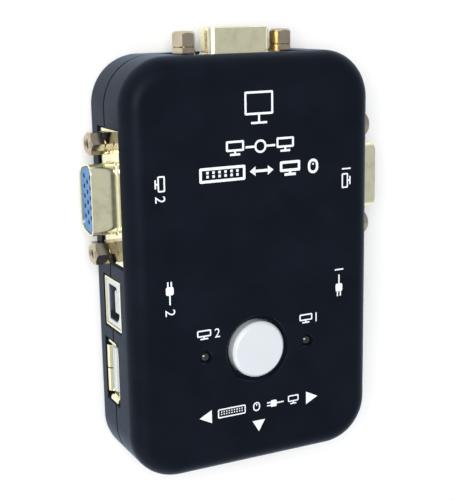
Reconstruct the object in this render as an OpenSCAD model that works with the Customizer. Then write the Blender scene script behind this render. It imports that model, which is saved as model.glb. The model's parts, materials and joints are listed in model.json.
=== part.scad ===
// Two-computer desktop switch: a rounded two-shell case around one circuit board.
// The case lies on its back: +Z leaves the front face, +Y points at the console video
// socket, and the origin is the centre of the back face.
// Sockets are drawn once in a local frame whose +X points out of the case.

/* [Case] */
// Width across the two sides
case_w = 63.5; // [58:0.5:80]
// Length from end to end
case_l = 98.5; // [94:0.5:130]
// Height from the back face to the front face
case_h = 23.5; // [22.5:0.5:30]
// Thickness of the case walls
wall = 2; // [1.6:0.1:2.4]
// Radius of the four upright corners
corner_r = 11.5; // [9:0.5:12.5]
// Radius of the edge around the front face
front_r = 4.5; // [3:0.1:5]
// Radius of the edge around the back face
back_r = 2.7; // [1:0.1:3.4]
// Height of the joint between the two shells
split_z = 10.7; // [9:0.1:12]
// Gap around each socket in its cut-out
cutout_gap = 0.35; // [0.2:0.05:0.6]

/* [Circuit board] */
// Height of the board's top face
board_z = 6.1; // [5.2:0.1:6.6]
// Thickness of the board
board_t = 1.6; // [1:0.2:2]
// Gap between the board's edge and the case wall
board_gap = 0.6; // [0.4:0.1:1.2]

/* [Video sockets] */
// Distance of the two side video sockets towards the console end
video_y = 17.8; // [16.8:0.1:20]
// Height of a video socket's axis above the board
video_axis_h = 6.4; // [6:0.1:6.8]
// Length of the mounting flange
flange_w = 30.8; // [30.4:0.1:32]
// Height of the mounting flange
flange_h = 12.5; // [11.4:0.1:12.6]
// Thickness of the mounting flange
flange_t = 0.8; // [0.5:0.1:1]
// Depth of the flange's face below the case side
flange_inset = 0.5; // [0.3:0.1:0.6]
// Width of the D-shaped shell at its long side
shell_w = 16.3; // [15.8:0.1:17]
// Height of the D-shaped shell
shell_h = 7.9; // [7.7:0.1:8.3]
// Length of the D-shaped shell in front of its flange
shell_reach = 6.2; // [4.5:0.1:6.2]
// Distance between the two jackscrews
jack_pitch = 24.99; // [24.8:0.01:25.6]
// Size of a jackscrew's hexagon across its flats
jack_flats = 5; // [4.5:0.1:5.2]
// Length of a jackscrew's hexagon
jack_reach = 5.5; // [4.5:0.1:6.5]
// Radius of a jackscrew's threaded hole
jack_hole_r = 1.13; // [1:0.01:1.2]
// Depth of a jackscrew's threaded hole
jack_hole_l = 4.2; // [3:0.1:4.4]

/* [Square USB sockets] */
// Place of the two square sockets along the case
square_y = -7.6; // [-8.6:0.1:-7]
// Width of the square socket
square_w = 12; // [11.6:0.1:12.4]
// Height of the square socket
square_h = 10; // [9.8:0.1:10.8]
// Depth of the square socket
square_l = 15.5; // [13:0.5:16]
// Wall thickness of the square socket's metal shell
square_t = 0.5; // [0.3:0.05:0.6]

/* [Flat USB sockets] */
// Place of the two side flat sockets along the case
flat_y = -24.8; // [-25.5:0.1:-24.5]
// Width of the flat socket's mouth
mouth_w = 12.5; // [12.3:0.1:12.8]
// Height of the flat socket's mouth
mouth_h = 5.12; // [5:0.01:5.4]
// Depth of the flat socket
flat_l = 14; // [12:0.5:15]
// Wall thickness of the flat socket's metal shell
flat_t = 0.3; // [0.25:0.05:0.4]
// How far each flared lip stands out past the mouth
lip_out = 1.25; // [0.8:0.05:1.3]
// How far each flared lip runs forwards
lip_run = 1; // [0.6:0.1:1.2]

/* [Select button] */
// Place of the button along the case
button_y = -20.2; // [-20.6:0.1:-18]
// Diameter of the button's cap
button_d = 13.7; // [12:0.1:14.5]
// Height of the cap above the front face
button_rise = 0.8; // [0.5:0.1:2]
// Width of the sunken ring between the cap and the face
well_ring = 1.35; // [1:0.05:1.6]
// Depth of the well's floor below the front face
well_depth = 1.5; // [1:0.1:2]
// Travel of the button
button_travel = 1.5; // [0.8:0.1:1.6]
// Running gap around the button's cap
button_gap = 0.35; // [0.3:0.05:0.4]
// Side of the push switch's square housing
switch_w = 8.5; // [8:0.1:9]
// Height of the push switch's housing
switch_h = 7; // [6.5:0.1:7.4]
// Side of the push switch's square stem
stem_w = 3.3; // [3:0.1:3.6]

/* [Indicator lamps] */
// Distance of each lamp from the centre line
lamp_x = 13.6; // [12.5:0.1:15]
// Diameter of a lamp
lamp_d = 3; // [2.8:0.1:3.2]

/* [Fasteners] */
// Distance of a case screw from the case's side and end
screw_in = 7.55; // [7.2:0.05:8.5]
// Radius of a case screw's shank
screw_r = 1.4; // [1.2:0.05:1.5]
// Radius of a case screw's head
screw_head_r = 2.5; // [2.2:0.1:2.6]
// Radius of a board screw's shank
board_screw_r = 1.1; // [0.9:0.05:1.2]

/* [Hidden] */
CASE = ["top_cover", "bottom_cover", "case_screws", "circuit_board", "board_screws"];
VIDEO = [for (place = ["console", "pc1", "pc2"]) for (piece = ["shell", "insulator", "contacts",
    "brackets", "jackscrews"]) str("video_", piece, "_", place)];
SQUARE = [for (place = ["pc1", "pc2"]) for (piece = ["shell", "insulator", "contacts"])
    str("square_", piece, "_", place)];
FLAT = [for (place = ["left", "right", "end"]) for (piece = ["shell", "insulator", "contacts"])
    str("flat_", piece, "_", place)];
SWITCH = ["button_cap", "switch_plunger", "switch_spring", "switch_housing", "switch_pins"];
LAMPS = ["lamp_1", "lamp_2", "lamp_leads"];
CHIPS = ["control_chip", "video_chips", "chip_legs", "crystal", "capacitors", "resistors"];

$fn = 48;
hull_fn = 32;
// Running clearance between pieces that slide into each other and stay
fit = 0.1;
// Overshoot of a cutting tool past the face it leaves
over = 1;

// Colours
shell_black = [0.09, 0.1, 0.13];
board_green = [0.08, 0.3, 0.16];
nickel = [0.82, 0.8, 0.7];
plug_blue = [0.25, 0.48, 0.75];
plastic_white = [0.9, 0.92, 0.92];
gold = [0.85, 0.68, 0.3];
chip_black = [0.12, 0.12, 0.12];
lamp_grey = [0.35, 0.37, 0.4];
sleeve_blue = [0.2, 0.22, 0.3];

// Case
inner_r = corner_r - wall;
inner_front_r = max(front_r - wall, 0.5);
inner_back_r = max(back_r - wall, 0.5);
post_x = case_w / 2 - screw_in;
post_y = case_l / 2 - screw_in;
post_r = screw_head_r + 0.8;
head_z = 4;
head_t = 2;
screw_bore_r = screw_r + fit;
screw_l = 10.5;
pilot_spare = 0.5;
head_gap = 0.2;
cross_w = 0.7;
cross_l = 2.6;
cross_deep = 1;

// Circuit board
board_x = case_w / 2 - wall - board_gap;
board_y = case_l / 2 - wall - board_gap;
board_low = board_z - board_t;
board_post_x = 17.5;
board_post_y = 37.2;
board_post_r = 2.7;
hold_post_r = 1.8;
board_head_r = 2.1;
board_head_t = 1.5;
board_screw_end = 0.4;
board_pilot_spare = 0.2;
board_cross_l = 2.2;
board_cross_w = 0.6;
board_cross_deep = 0.7;
notch_r = post_r + 0.5;
notch_cut = 10;
pin_hole_r = 0.45;
leg_hole_r = 0.8;

// Video sockets
video_z = board_z + video_axis_h;
shell_t = 0.4;
shell_round = 2.4;
// Each slanted end of the D leans in by this share of its height
d_lean = tan(10);
insert_step = 0.4;
block_w = jack_pitch - 6.6;
block_l = 8;
block_h = flange_h - 1.5;
flange_front = -flange_inset;
flange_back = flange_front - flange_t;
stud_r = 1.42;
stud_gap = 0.15;
stud_l = 4.5;
bracket_w = 5.4;
bracket_l = 5;
bracket_rise = 3.2;
bracket_leg_r = 0.65;
jack_chamfer = 0.7;
jack_corner_cut = 0.15;
corner_least_r = 0.3;
contact_pitch = 2.29;
contact_row = 1.98;
contact_r = 0.5;
contact_socket_r = 0.6;
contact_recess = 0.9;
tail_side = 0.5;
tail_run = 1.2;
tail_spread = 1.98;
tail_below = 1.2;

// Square USB sockets
square_z = board_z + square_h / 2;
square_front = -0.1;
block_wall = 1.15;
square_tongue_w = 5.6;
square_tongue_h = 3.3;
tongue_recess = 0.8;
square_floor = 6.5;
square_pin_x = [-11.5, -13.5];
square_pin_y = 1.25;
square_pin_gap = 0.4;
square_inset = 0.3;
square_corner_cut = 1.6;
square_slot_w = 4.5;
pin_w = 0.5;
pad_inset = 0.6;

// Flat USB sockets
// Height of the mouth's lower edge above the board
mouth_rise = 0.64;
flat_z = board_z + mouth_rise + mouth_h / 2;
flat_tip = -0.2;
flat_front = flat_tip - lip_run;
tongue_w = 11.1;
tongue_t = 1.84;
tongue_gap = 0.38;
flat_floor = 9.2;
lip_long = mouth_w - 0.9;
lip_short = mouth_h - 0.4;
flat_pin_pitch = 2.3;
flat_pin_x = flat_front - flat_l + 1.6;
flat_pin_gap = 0.4;
flat_slot_w = 9;
flat_slot_l = 1.4;
tongue_proud = 0.3;
contact_w = 1;
contact_t = 0.3;
contact_len = 6.5;
contact_inset = 1;
tail_top_gap = 0.2;

// Select button and push switch
cap_r = button_d / 2;
cap_top = case_h + button_rise;
cap_chamfer = 0.7;
cap_roof = 1.8;
cap_wall = 1.6;
cap_bore_r = cap_r + button_gap;
well_r = cap_r + well_ring;
guide_r = well_r + 1.4;
guide_z = case_h - 4.3;
collar_r = cap_r + 1.7;
collar_t = 1.2;
// Gap between the cap's collar and the guide ring it rests under
rest_gap = 0.3;
collar_top = guide_z - rest_gap;
cap_low = collar_top - collar_t;
switch_top = board_z + switch_h;
hub_low = switch_top + button_travel + 0.5;
hub_r = 3.6;
stem_in_hub = 4.1;
stem_top = hub_low + stem_in_hub;
switch_wall = 1;
lid_t = 0.8;
plunger_gap = 0.35;
plunger_t = 1.7;
plunger_w = switch_w - 2 * (switch_wall + plunger_gap);
plunger_top = switch_top - lid_t - rest_gap;
plunger_low = plunger_top - plunger_t;
switch_floor = 0.7;
spring_low = board_z + switch_floor;
spring_h = plunger_low - spring_low;
spring_wire = 0.45;
spring_d = 4.2;
spring_turns = 3;
spring_sides = 8;
spring_steps = 16;
spring_seat_gap = 0.03;
switch_pin_x = 2.5;
switch_pin_pitch = 2;

// Indicator lamps
lamp_sunk = 0.2;
lamp_top = case_h - lamp_sunk;
lamp_body = 4.8;
lamp_rim_t = 1;
lamp_rim_r = lamp_d / 2 + 0.4;
lamp_low = lamp_top - lamp_body - lamp_rim_t;
lamp_gap = 0.15;
lead_pitch = 2.54;
lead_w = 0.5;

// Chips and small parts
wide_chip = [12.8, 7.5, 2.3];
slim_chip = [9.9, 3.9, 1.5];
control_at = [0, 5];
video_chip_at = [[-8.5, 22], [8.5, 22]];
leg_pitch = 1.27;
leg_w = 0.45;
leg_t = 0.25;
leg_l = 1.2;
leg_under = 0.5;
crystal_at = [0, -8.5];
crystal_size = [10.5, 4.4, 3.4];
capacitor_at = [[-9.5, -5.5], [10.5, -4.5], [0, 29.5]];
capacitor_r = 2.5;
capacitor_h = 7;
resistor_size = [2, 1.25, 0.55];
resistor_rows = [[-10, 13.5], [3.5, 13.5]];
resistor_step = 3.2;
resistor_count = 3;
part_stand = 0.05;

// ---- Shared shapes ----

// A rounded block from z0 to z1; an edge radius of 0 leaves that end square
module soft_block(w, l, z0, z1, r, low_r, high_r) {
    hull() {
        for (sx = [-1, 1], sy = [-1, 1]) translate([sx * (w / 2 - r), sy * (l / 2 - r), 0]) {
            corner_ring(r, high_r, z1, -1);
            corner_ring(r, low_r, z0, 1);
        }
    }
}

// One end of an upright corner: a quarter-round ring, or a thin disc where edge_r is 0
module corner_ring(r, edge_r, z, inward) {
    disc = 0.01;
    if (edge_r > 0)
        translate([0, 0, z + inward * edge_r])
            rotate_extrude($fn = hull_fn) translate([r - edge_r, 0]) circle(r = edge_r, $fn = 32);
    else
        translate([0, 0, min(z, z + inward * disc)]) cylinder(r = r, h = disc, $fn = hull_fn);
}

// Stands its children, drawn facing +X from the origin, in the named side of the case
module on_side(side, along) {
    if (side == "right") translate([case_w / 2, along, 0]) children();
    if (side == "left") translate([-case_w / 2, along, 0]) rotate([0, 0, 180]) children();
    if (side == "console") translate([along, case_l / 2, 0]) rotate([0, 0, 90]) children();
    if (side == "end") translate([along, -case_l / 2, 0]) rotate([0, 0, -90]) children();
}

// A box from x0 to x1, w wide about Y = 0 and h high about z
module slab(x0, x1, w, h, z) {
    translate([x0, -w / 2, z - h / 2]) cube([x1 - x0, w, h]);
}

module post(x, y, r, z0, z1) {
    translate([x, y, z0]) cylinder(r = r, h = z1 - z0);
}

module corner_posts(r, z0, z1) {
    for (sx = [-1, 1], sy = [-1, 1]) post(sx * post_x, sy * post_y, r, z0, z1);
}

module board_posts(r, z0, z1) {
    for (sx = [-1, 1]) post(sx * board_post_x, -board_post_y, r, z0, z1);
}

module far_posts(r, z0, z1) {
    for (sx = [-1, 1]) post(sx * board_post_x, board_post_y, r, z0, z1);
}

// ---- Case ----

module video_places() {
    on_side("console", 0) children();
    on_side("right", video_y) children();
    on_side("left", video_y) children();
}

module square_places() {
    on_side("right", square_y) children();
    on_side("left", square_y) children();
}

module flat_places() {
    on_side("right", flat_y) children();
    on_side("left", flat_y) children();
    on_side("end", 0) children();
}

module socket_cutouts() {
    deep = wall + over;
    gaps = 2 * cutout_gap;
    video_places() slab(-deep, over, flange_w + gaps, flange_h + gaps, video_z);
    square_places() slab(-deep, over, square_w + gaps, square_h + gaps, square_z);
    flat_places() slab(-deep, over, mouth_w + 2 * lip_out + gaps, mouth_h + 2 * lip_out + gaps, flat_z);
}

module top_cover() {
    color(shell_black) difference() {
        union() {
            difference() {
                soft_block(case_w, case_l, split_z, case_h, corner_r, 0, front_r);
                soft_block(case_w - 2 * wall, case_l - 2 * wall, split_z - over, case_h - wall,
                    inner_r, 0, inner_front_r);
                socket_cutouts();
            }
            corner_posts(post_r, split_z, case_h - wall);
            far_posts(hold_post_r, board_z + fit, case_h - wall);
            post(0, button_y, guide_r, guide_z, case_h - wall);
        }
        corner_posts(screw_bore_r, split_z - over, head_z + screw_l + pilot_spare);
        post(0, button_y, cap_bore_r, guide_z - over, case_h + over);
        post(0, button_y, well_r, case_h - well_depth, case_h + over);
        for (sx = [-1, 1])
            post(sx * lamp_x, button_y, lamp_d / 2 + lamp_gap, case_h - wall - over, case_h + over);
    }
}

module bottom_cover() {
    color(shell_black) difference() {
        union() {
            difference() {
                soft_block(case_w, case_l, 0, split_z, corner_r, back_r, 0);
                soft_block(case_w - 2 * wall, case_l - 2 * wall, wall, split_z + over,
                    inner_r, inner_back_r, 0);
                socket_cutouts();
            }
            corner_posts(post_r, wall, split_z);
            board_posts(board_post_r, wall, board_low);
            far_posts(board_post_r, wall, board_low);
        }
        corner_posts(screw_bore_r, -over, split_z + over);
        corner_posts(screw_head_r + head_gap, -over, head_z);
        board_posts(board_screw_r + fit, wall + board_screw_end - board_pilot_spare, board_low + over);
    }
}

module case_screws() {
    color(nickel) difference() {
        union() {
            corner_posts(screw_head_r, head_z - head_t, head_z);
            corner_posts(screw_r, head_z, head_z + screw_l);
        }
        for (sx = [-1, 1], sy = [-1, 1])
            translate([sx * post_x, sy * post_y, head_z - head_t]) cross_recess(cross_l, cross_w, cross_deep);
    }
}

module circuit_board() {
    color(board_green) difference() {
        translate([-board_x, -board_y, board_low]) cube([2 * board_x, 2 * board_y, board_t]);
        for (sx = [-1, 1], sy = [-1, 1]) translate([sx * post_x, sy * post_y, board_low - over]) {
            cylinder(r = notch_r, h = board_t + 2 * over);
            translate([sx > 0 ? 0 : -notch_cut, sy > 0 ? -notch_r : -notch_cut, 0])
                cube([notch_cut, notch_cut + notch_r, board_t + 2 * over]);
            translate([sx > 0 ? -notch_r : -notch_cut, sy > 0 ? 0 : -notch_cut, 0])
                cube([notch_cut + notch_r, notch_cut, board_t + 2 * over]);
        }
        board_posts(board_screw_r + fit, board_low - over, board_z + over);
        video_places() {
            video_tail_places() pin_hole();
            for (s = [-1, 1]) translate([bracket_leg_x(), s * jack_pitch / 2, 0]) pin_hole(leg_hole_r);
        }
        square_places() for (x = square_pin_x, s = [-1, 1]) translate([x, s * square_pin_y, 0]) pin_hole();
        flat_places() for (i = [0:3]) translate([flat_pin_x, (i - 1.5) * flat_pin_pitch, 0]) pin_hole();
        switch_pin_places() pin_hole();
        lamp_lead_places() pin_hole();
    }
}

module pin_hole(r = pin_hole_r) {
    translate([0, 0, board_low - over]) cylinder(r = r, h = board_t + 2 * over, $fn = 24);
}

// A cross cut this deep into a screw head, to either side of the origin
module cross_recess(long, wide, deep) {
    for (turn = [0, 90]) rotate([0, 0, turn]) cube([long, wide, 2 * deep], center = true);
}

module board_screws() {
    color(nickel) difference() {
        union() {
            board_posts(board_head_r, board_z, board_z + board_head_t);
            board_posts(board_screw_r, wall + board_screw_end, board_z);
        }
        for (sx = [-1, 1]) translate([sx * board_post_x, -board_post_y, board_z + board_head_t])
            cross_recess(board_cross_l, board_cross_w, board_cross_deep);
    }
}

// ---- Video sockets ----

// The D outline, grown by more on every side; its long side is up
module d_outline(more) {
    r = max(shell_round + more, corner_least_r);
    half_h = shell_h / 2 + more - r;
    half_w = shell_w / 2 + more - r;
    hull() {
        for (s = [-1, 1]) {
            translate([s * half_w, half_h]) circle(r = r, $fn = 32);
            translate([s * (half_w - (shell_h - 2 * shell_round) * d_lean), -half_h]) circle(r = r, $fn = 32);
        }
    }
}

// The D outline drawn out from x0 to x1
module d_solid(more, x0, x1) {
    translate([x0, 0, video_z]) rotate([90, 0, 90]) linear_extrude(x1 - x0) d_outline(more);
}

module jack_places() {
    for (s = [-1, 1]) translate([0, s * jack_pitch / 2, video_z]) rotate([0, 90, 0]) children();
}

module video_shell() {
    color(nickel) difference() {
        union() {
            slab(flange_back, flange_front, flange_w, flange_h, video_z);
            d_solid(0, flange_back, flange_front + shell_reach);
        }
        d_solid(-shell_t, flange_back - over, flange_front + shell_reach + over);
        jack_places() translate([0, 0, flange_back - over])
            cylinder(r = stud_r + stud_gap, h = flange_t + 2 * over);
    }
}

module video_insulator() {
    color(plug_blue) difference() {
        union() {
            d_solid(-shell_t - fit / 2, flange_back, flange_front + shell_reach - insert_step);
            slab(flange_back - block_l, flange_back, block_w, block_h, board_z + block_h / 2 + part_stand);
        }
        contact_places() translate([0, 0, flange_back - block_l - over])
            cylinder(r = contact_socket_r, h = block_l + flange_t + shell_reach + 2 * over, $fn = 24);
    }
}

// The three staggered rows of five contacts, facing +X
module contact_places() {
    for (row = [-1:1], i = [-2:2])
        translate([0, i * contact_pitch + contact_shift(row), video_z + row * contact_row])
            rotate([0, 90, 0]) children();
}

function contact_shift(row) = row == 0 ? contact_pitch / 4 : -contact_pitch / 4;

// The contacts' tails come down behind the block, the highest row furthest back
function tail_x(row) = flange_back - block_l - tail_run - (row + 1) * tail_spread;
function bracket_leg_x() = flange_back - bracket_l / 2;

module video_tail_places() {
    for (row = [-1:1], i = [-2:2])
        translate([tail_x(row), i * contact_pitch + contact_shift(row), 0]) children();
}

module video_contacts() {
    front = flange_front + shell_reach - insert_step - contact_recess;
    color(gold) for (row = [-1:1], i = [-2:2])
        translate([0, i * contact_pitch + contact_shift(row), 0]) {
            translate([tail_x(row), 0, video_z + row * contact_row]) rotate([0, 90, 0])
                cylinder(r = contact_r, h = front - tail_x(row), $fn = 24);
            translate([tail_x(row) - tail_side / 2, -tail_side / 2, board_low - tail_below])
                cube([tail_side, tail_side, video_z + row * contact_row - board_low + tail_below]);
        }
}

module video_brackets() {
    low = board_z + part_stand;
    high = video_z + bracket_rise;
    color(nickel) difference() {
        for (s = [-1, 1]) translate([0, s * jack_pitch / 2, 0]) {
            slab(flange_back - bracket_l, flange_back, bracket_w, high - low, (high + low) / 2);
            translate([bracket_leg_x(), 0, board_low - tail_below])
                cylinder(r = bracket_leg_r, h = low - board_low + tail_below);
        }
        jack_places() translate([0, 0, flange_back - bracket_l - over])
            cylinder(r = stud_r + fit, h = bracket_l + 2 * over);
    }
}

module video_jackscrews(turn) {
    hex_r = jack_flats / 2 / cos(30);
    end_r = hex_r - jack_corner_cut - jack_chamfer;
    color(nickel) difference() {
        jack_places() {
            translate([0, 0, flange_front]) intersection() {
                rotate([0, 0, turn]) cylinder(r = hex_r, h = jack_reach, $fn = 6);
                union() {
                    cylinder(r = hex_r + fit, h = jack_reach - jack_chamfer);
                    translate([0, 0, jack_reach - jack_chamfer])
                        cylinder(r1 = hex_r + fit, r2 = end_r, h = jack_chamfer);
                }
            }
            translate([0, 0, flange_back - stud_l]) cylinder(r = stud_r, h = flange_t + stud_l);
        }
        jack_places() translate([0, 0, flange_front + jack_reach - jack_hole_l])
            cylinder(r = jack_hole_r, h = jack_hole_l + over);
    }
}

// ---- Square USB sockets ----

module square_shell() {
    color(nickel) difference() {
        slab(square_front - square_l, square_front, square_w, square_h, square_z);
        slab(square_front - square_l + square_t, square_front + over,
            square_w - 2 * square_t, square_h - 2 * square_t, square_z);
        slab(square_pin_x[1] - 1, square_pin_x[0] + 1, square_slot_w, 2 * over, board_z);
    }
}

// Mouth of the square socket: its two corners nearest the front of the case are cut off
module square_mouth() {
    w = square_w - 2 * (square_t + block_wall);
    h = square_h - 2 * (square_t + block_wall);
    cut = square_corner_cut;
    polygon([[-w / 2, -h / 2], [w / 2, -h / 2], [w / 2, h / 2 - cut], [w / 2 - cut, h / 2],
        [cut - w / 2, h / 2], [-w / 2, h / 2 - cut]]);
}

module square_insulator() {
    front = square_front - square_inset;
    back = square_front - square_l + square_t + fit;
    w = square_w - 2 * square_t - 2 * fit;
    h = square_h - 2 * square_t - 2 * fit;
    color(plastic_white) difference() {
        union() {
            difference() {
                slab(back, front, w, h, square_z);
                translate([front - square_floor, 0, square_z]) rotate([90, 0, 90])
                    linear_extrude(square_floor + over) square_mouth();
            }
            slab(front - square_floor, front - tongue_recess, square_tongue_w, square_tongue_h, square_z);
        }
        for (x = square_pin_x, s = [-1, 1]) translate([0, s * square_pin_y, 0])
            slab(x - square_pin_gap, x + square_pin_gap, 2 * square_pin_gap, square_h, board_z);
    }
}

module square_contacts() {
    front = square_front - square_inset - tongue_recess - pad_inset;
    pad = square_floor - tongue_recess - 2 * pad_inset + 0.2;
    tail = board_t + tail_below;
    color(gold) for (s = [-1, 1]) translate([0, s * square_pin_y, 0]) {
        for (side = [-1, 1])
            slab(front - pad, front, contact_w, contact_t / 2,
                square_z + side * (square_tongue_h / 2 + contact_t / 4));
        for (x = square_pin_x)
            slab(x - pin_w / 2, x + pin_w / 2, pin_w, square_h / 2 + tail,
                board_z + (square_h / 2 - tail) / 2);
    }
}

// ---- Flat USB sockets ----

module flat_shell() {
    outer_w = mouth_w + 2 * flat_t;
    outer_h = mouth_h + 2 * flat_t;
    color(nickel) {
        difference() {
            slab(flat_front - flat_l, flat_front, outer_w, outer_h, flat_z);
            slab(flat_front - flat_l + flat_t, flat_front + over, mouth_w, mouth_h, flat_z);
            slab(flat_pin_x - flat_slot_l / 2, flat_pin_x + flat_slot_l / 2, flat_slot_w, 2 * over,
                flat_z - mouth_h / 2);
        }
        for (s = [-1, 1]) {
            translate([0, 0, flat_z]) turned_over(s) lip(lip_long, mouth_h / 2);
            translate([0, 0, flat_z]) rotate([s * 90, 0, 0]) lip(lip_short, mouth_w / 2);
        }
    }
}

// Turns its children to the far side of the mouth for s of -1
module turned_over(s) {
    rotate([s > 0 ? 0 : 180, 0, 0]) children();
}

// One flared lip, long along Y, leaving the mouth at height z
module lip(long, z) {
    translate([0, long / 2, 0]) rotate([90, 0, 0]) linear_extrude(long)
        polygon([[flat_front, z], [flat_front, z + flat_t], [flat_tip - flat_t / 2, z + lip_out],
            [flat_tip, z + lip_out - flat_t / 2], [flat_front + flat_t, z]]);
}

module flat_insulator() {
    low = flat_z - mouth_h / 2;
    back = flat_front - flat_l + flat_t + fit;
    floor_x = flat_front - flat_floor;
    tongue_z = low + tongue_gap + tongue_t / 2;
    color(plastic_white) difference() {
        union() {
            slab(back, floor_x, mouth_w - 2 * fit, mouth_h - 2 * fit, flat_z);
            slab(floor_x, flat_front + tongue_proud, tongue_w, tongue_t, tongue_z);
        }
        for (i = [0:3]) translate([0, (i - 1.5) * flat_pin_pitch, low])
            slab(flat_pin_x - flat_pin_gap, flat_pin_x + flat_pin_gap, 2 * flat_pin_gap, mouth_h, 0);
    }
}

module flat_contacts() {
    low = flat_z - mouth_h / 2;
    face_z = low + tongue_gap + tongue_t;
    tail_low = board_low - tail_below;
    tail_high = low + mouth_h / 2 - tail_top_gap;
    color(gold) for (i = [0:3]) translate([0, (i - 1.5) * flat_pin_pitch, 0]) {
        slab(flat_front - contact_inset - contact_len, flat_front - contact_inset, contact_w, contact_t,
            face_z + contact_t / 2);
        slab(flat_pin_x - pin_w / 2, flat_pin_x + pin_w / 2, pin_w, tail_high - tail_low,
            (tail_high + tail_low) / 2);
    }
}

// ---- Select button ----

module at_button() {
    translate([0, button_y, 0]) children();
}

module button_cap() {
    socket = stem_w + 2 * fit;
    color(plastic_white) at_button() difference() {
        union() {
            rotate_extrude() polygon([[0, cap_top - cap_roof], [cap_r - cap_wall, cap_top - cap_roof],
                [cap_r - cap_wall, cap_low], [collar_r, cap_low], [collar_r, collar_top],
                [cap_r, collar_top], [cap_r, cap_top - cap_chamfer], [cap_r - cap_chamfer, cap_top],
                [0, cap_top]]);
            translate([0, 0, hub_low]) cylinder(r = hub_r, h = cap_top - cap_roof - hub_low);
        }
        translate([-socket / 2, -socket / 2, hub_low - over])
            cube([socket, socket, stem_in_hub + fit + over]);
    }
}

module switch_plunger() {
    color(chip_black) at_button() {
        translate([-plunger_w / 2, -plunger_w / 2, plunger_low]) cube([plunger_w, plunger_w, plunger_t]);
        translate([-stem_w / 2, -stem_w / 2, plunger_low]) cube([stem_w, stem_w, stem_top - plunger_low]);
    }
}

module switch_housing() {
    inner = switch_w - 2 * switch_wall;
    hole = stem_w + 2 * plunger_gap;
    color(plastic_white) at_button() difference() {
        translate([-switch_w / 2, -switch_w / 2, board_z]) cube([switch_w, switch_w, switch_h]);
        translate([-inner / 2, -inner / 2, spring_low]) cube([inner, inner, switch_top - lid_t - spring_low]);
        translate([-hole / 2, -hole / 2, switch_top - lid_t - over]) cube([hole, hole, lid_t + 2 * over]);
    }
}

module switch_pin_places() {
    at_button() for (sx = [-1, 1], i = [-1:1])
        translate([sx * switch_pin_x, i * switch_pin_pitch, 0]) children();
}

module switch_pins() {
    color(nickel) switch_pin_places()
        translate([-pin_w / 2, -pin_w / 2, board_low - tail_below])
            cube([pin_w, pin_w, board_t + tail_below]);
}

// A coil spring swept as rings of points along its helix
module switch_spring() {
    r = spring_d / 2 - spring_wire / 2;
    wire_r = spring_wire / 2;
    // The coil starts and ends just clear of its two seats
    low = spring_low + wire_r + spring_seat_gap;
    rise = spring_h - 2 * (wire_r + spring_seat_gap);
    rings = spring_turns * spring_steps;
    points = [for (i = [0:rings], j = [0:spring_sides - 1])
        let (turn = 360 * i / spring_steps, side = 360 * j / spring_sides, out = r + wire_r * cos(side))
        [out * cos(turn), out * sin(turn), low + rise * i / rings + wire_r * sin(side)]];
    walls = [for (i = [0:rings - 1], j = [0:spring_sides - 1])
        let (a = i * spring_sides + j, b = i * spring_sides + (j + 1) % spring_sides)
        [a, a + spring_sides, b + spring_sides, b]];
    first_end = [for (j = [0:spring_sides - 1]) j];
    last_end = [for (j = [spring_sides - 1:-1:0]) rings * spring_sides + j];
    color(nickel) at_button() polyhedron(points, concat(walls, [first_end, last_end]));
}

// ---- Indicator lamps ----

module lamp(side) {
    color(lamp_grey) translate([side * lamp_x, button_y, 0]) {
        translate([0, 0, lamp_low]) cylinder(r = lamp_rim_r, h = lamp_rim_t);
        translate([0, 0, lamp_low]) cylinder(r = lamp_d / 2, h = lamp_top - lamp_low - lamp_d / 2);
        translate([0, 0, lamp_top - lamp_d / 2]) sphere(r = lamp_d / 2);
    }
}

module lamp_lead_places() {
    for (sx = [-1, 1], s = [-1, 1])
        translate([sx * lamp_x + s * lead_pitch / 2, button_y, 0]) children();
}

module lamp_leads() {
    color(nickel) lamp_lead_places() translate([-lead_w / 2, -lead_w / 2, board_low - tail_below])
        cube([lead_w, lead_w, lamp_low - board_low + tail_below]);
}

// ---- Chips and small parts ----

module chip(at, size) {
    translate([at[0] - size[0] / 2, at[1] - size[1] / 2, board_z + leg_t + part_stand]) cube(size);
}

module legs(at, size) {
    count = floor(size[0] / leg_pitch);
    for (i = [0:count - 1], s = [-1, 1])
        translate([at[0] + (i - (count - 1) / 2) * leg_pitch - leg_w / 2,
            at[1] + s * (size[1] / 2 + leg_l / 2 - leg_under) - leg_l / 2, board_z])
            cube([leg_w, leg_l, leg_t]);
}

module control_chip() {
    color(chip_black) chip(control_at, wide_chip);
}

module video_chips() {
    color(chip_black) for (at = video_chip_at) chip(at, slim_chip);
}

module chip_legs() {
    color(nickel) {
        legs(control_at, wide_chip);
        for (at = video_chip_at) legs(at, slim_chip);
    }
}

module crystal() {
    side = crystal_size[1];
    straight = crystal_size[0] - side;
    color(nickel) translate([crystal_at[0], crystal_at[1], board_z + part_stand]) {
        for (s = [-1, 1]) translate([s * straight / 2, 0, 0]) cylinder(r = side / 2, h = crystal_size[2]);
        translate([-straight / 2, -side / 2, 0]) cube([straight, side, crystal_size[2]]);
    }
}

module capacitors() {
    color(sleeve_blue) for (at = capacitor_at)
        post(at[0], at[1], capacitor_r, board_z + part_stand, board_z + capacitor_h);
}

module resistors() {
    color(chip_black) for (row = resistor_rows, i = [0:resistor_count - 1])
        translate([row[0] + i * resistor_step, row[1], board_z + part_stand]) cube(resistor_size);
}

// ---- Drawing ----

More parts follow.
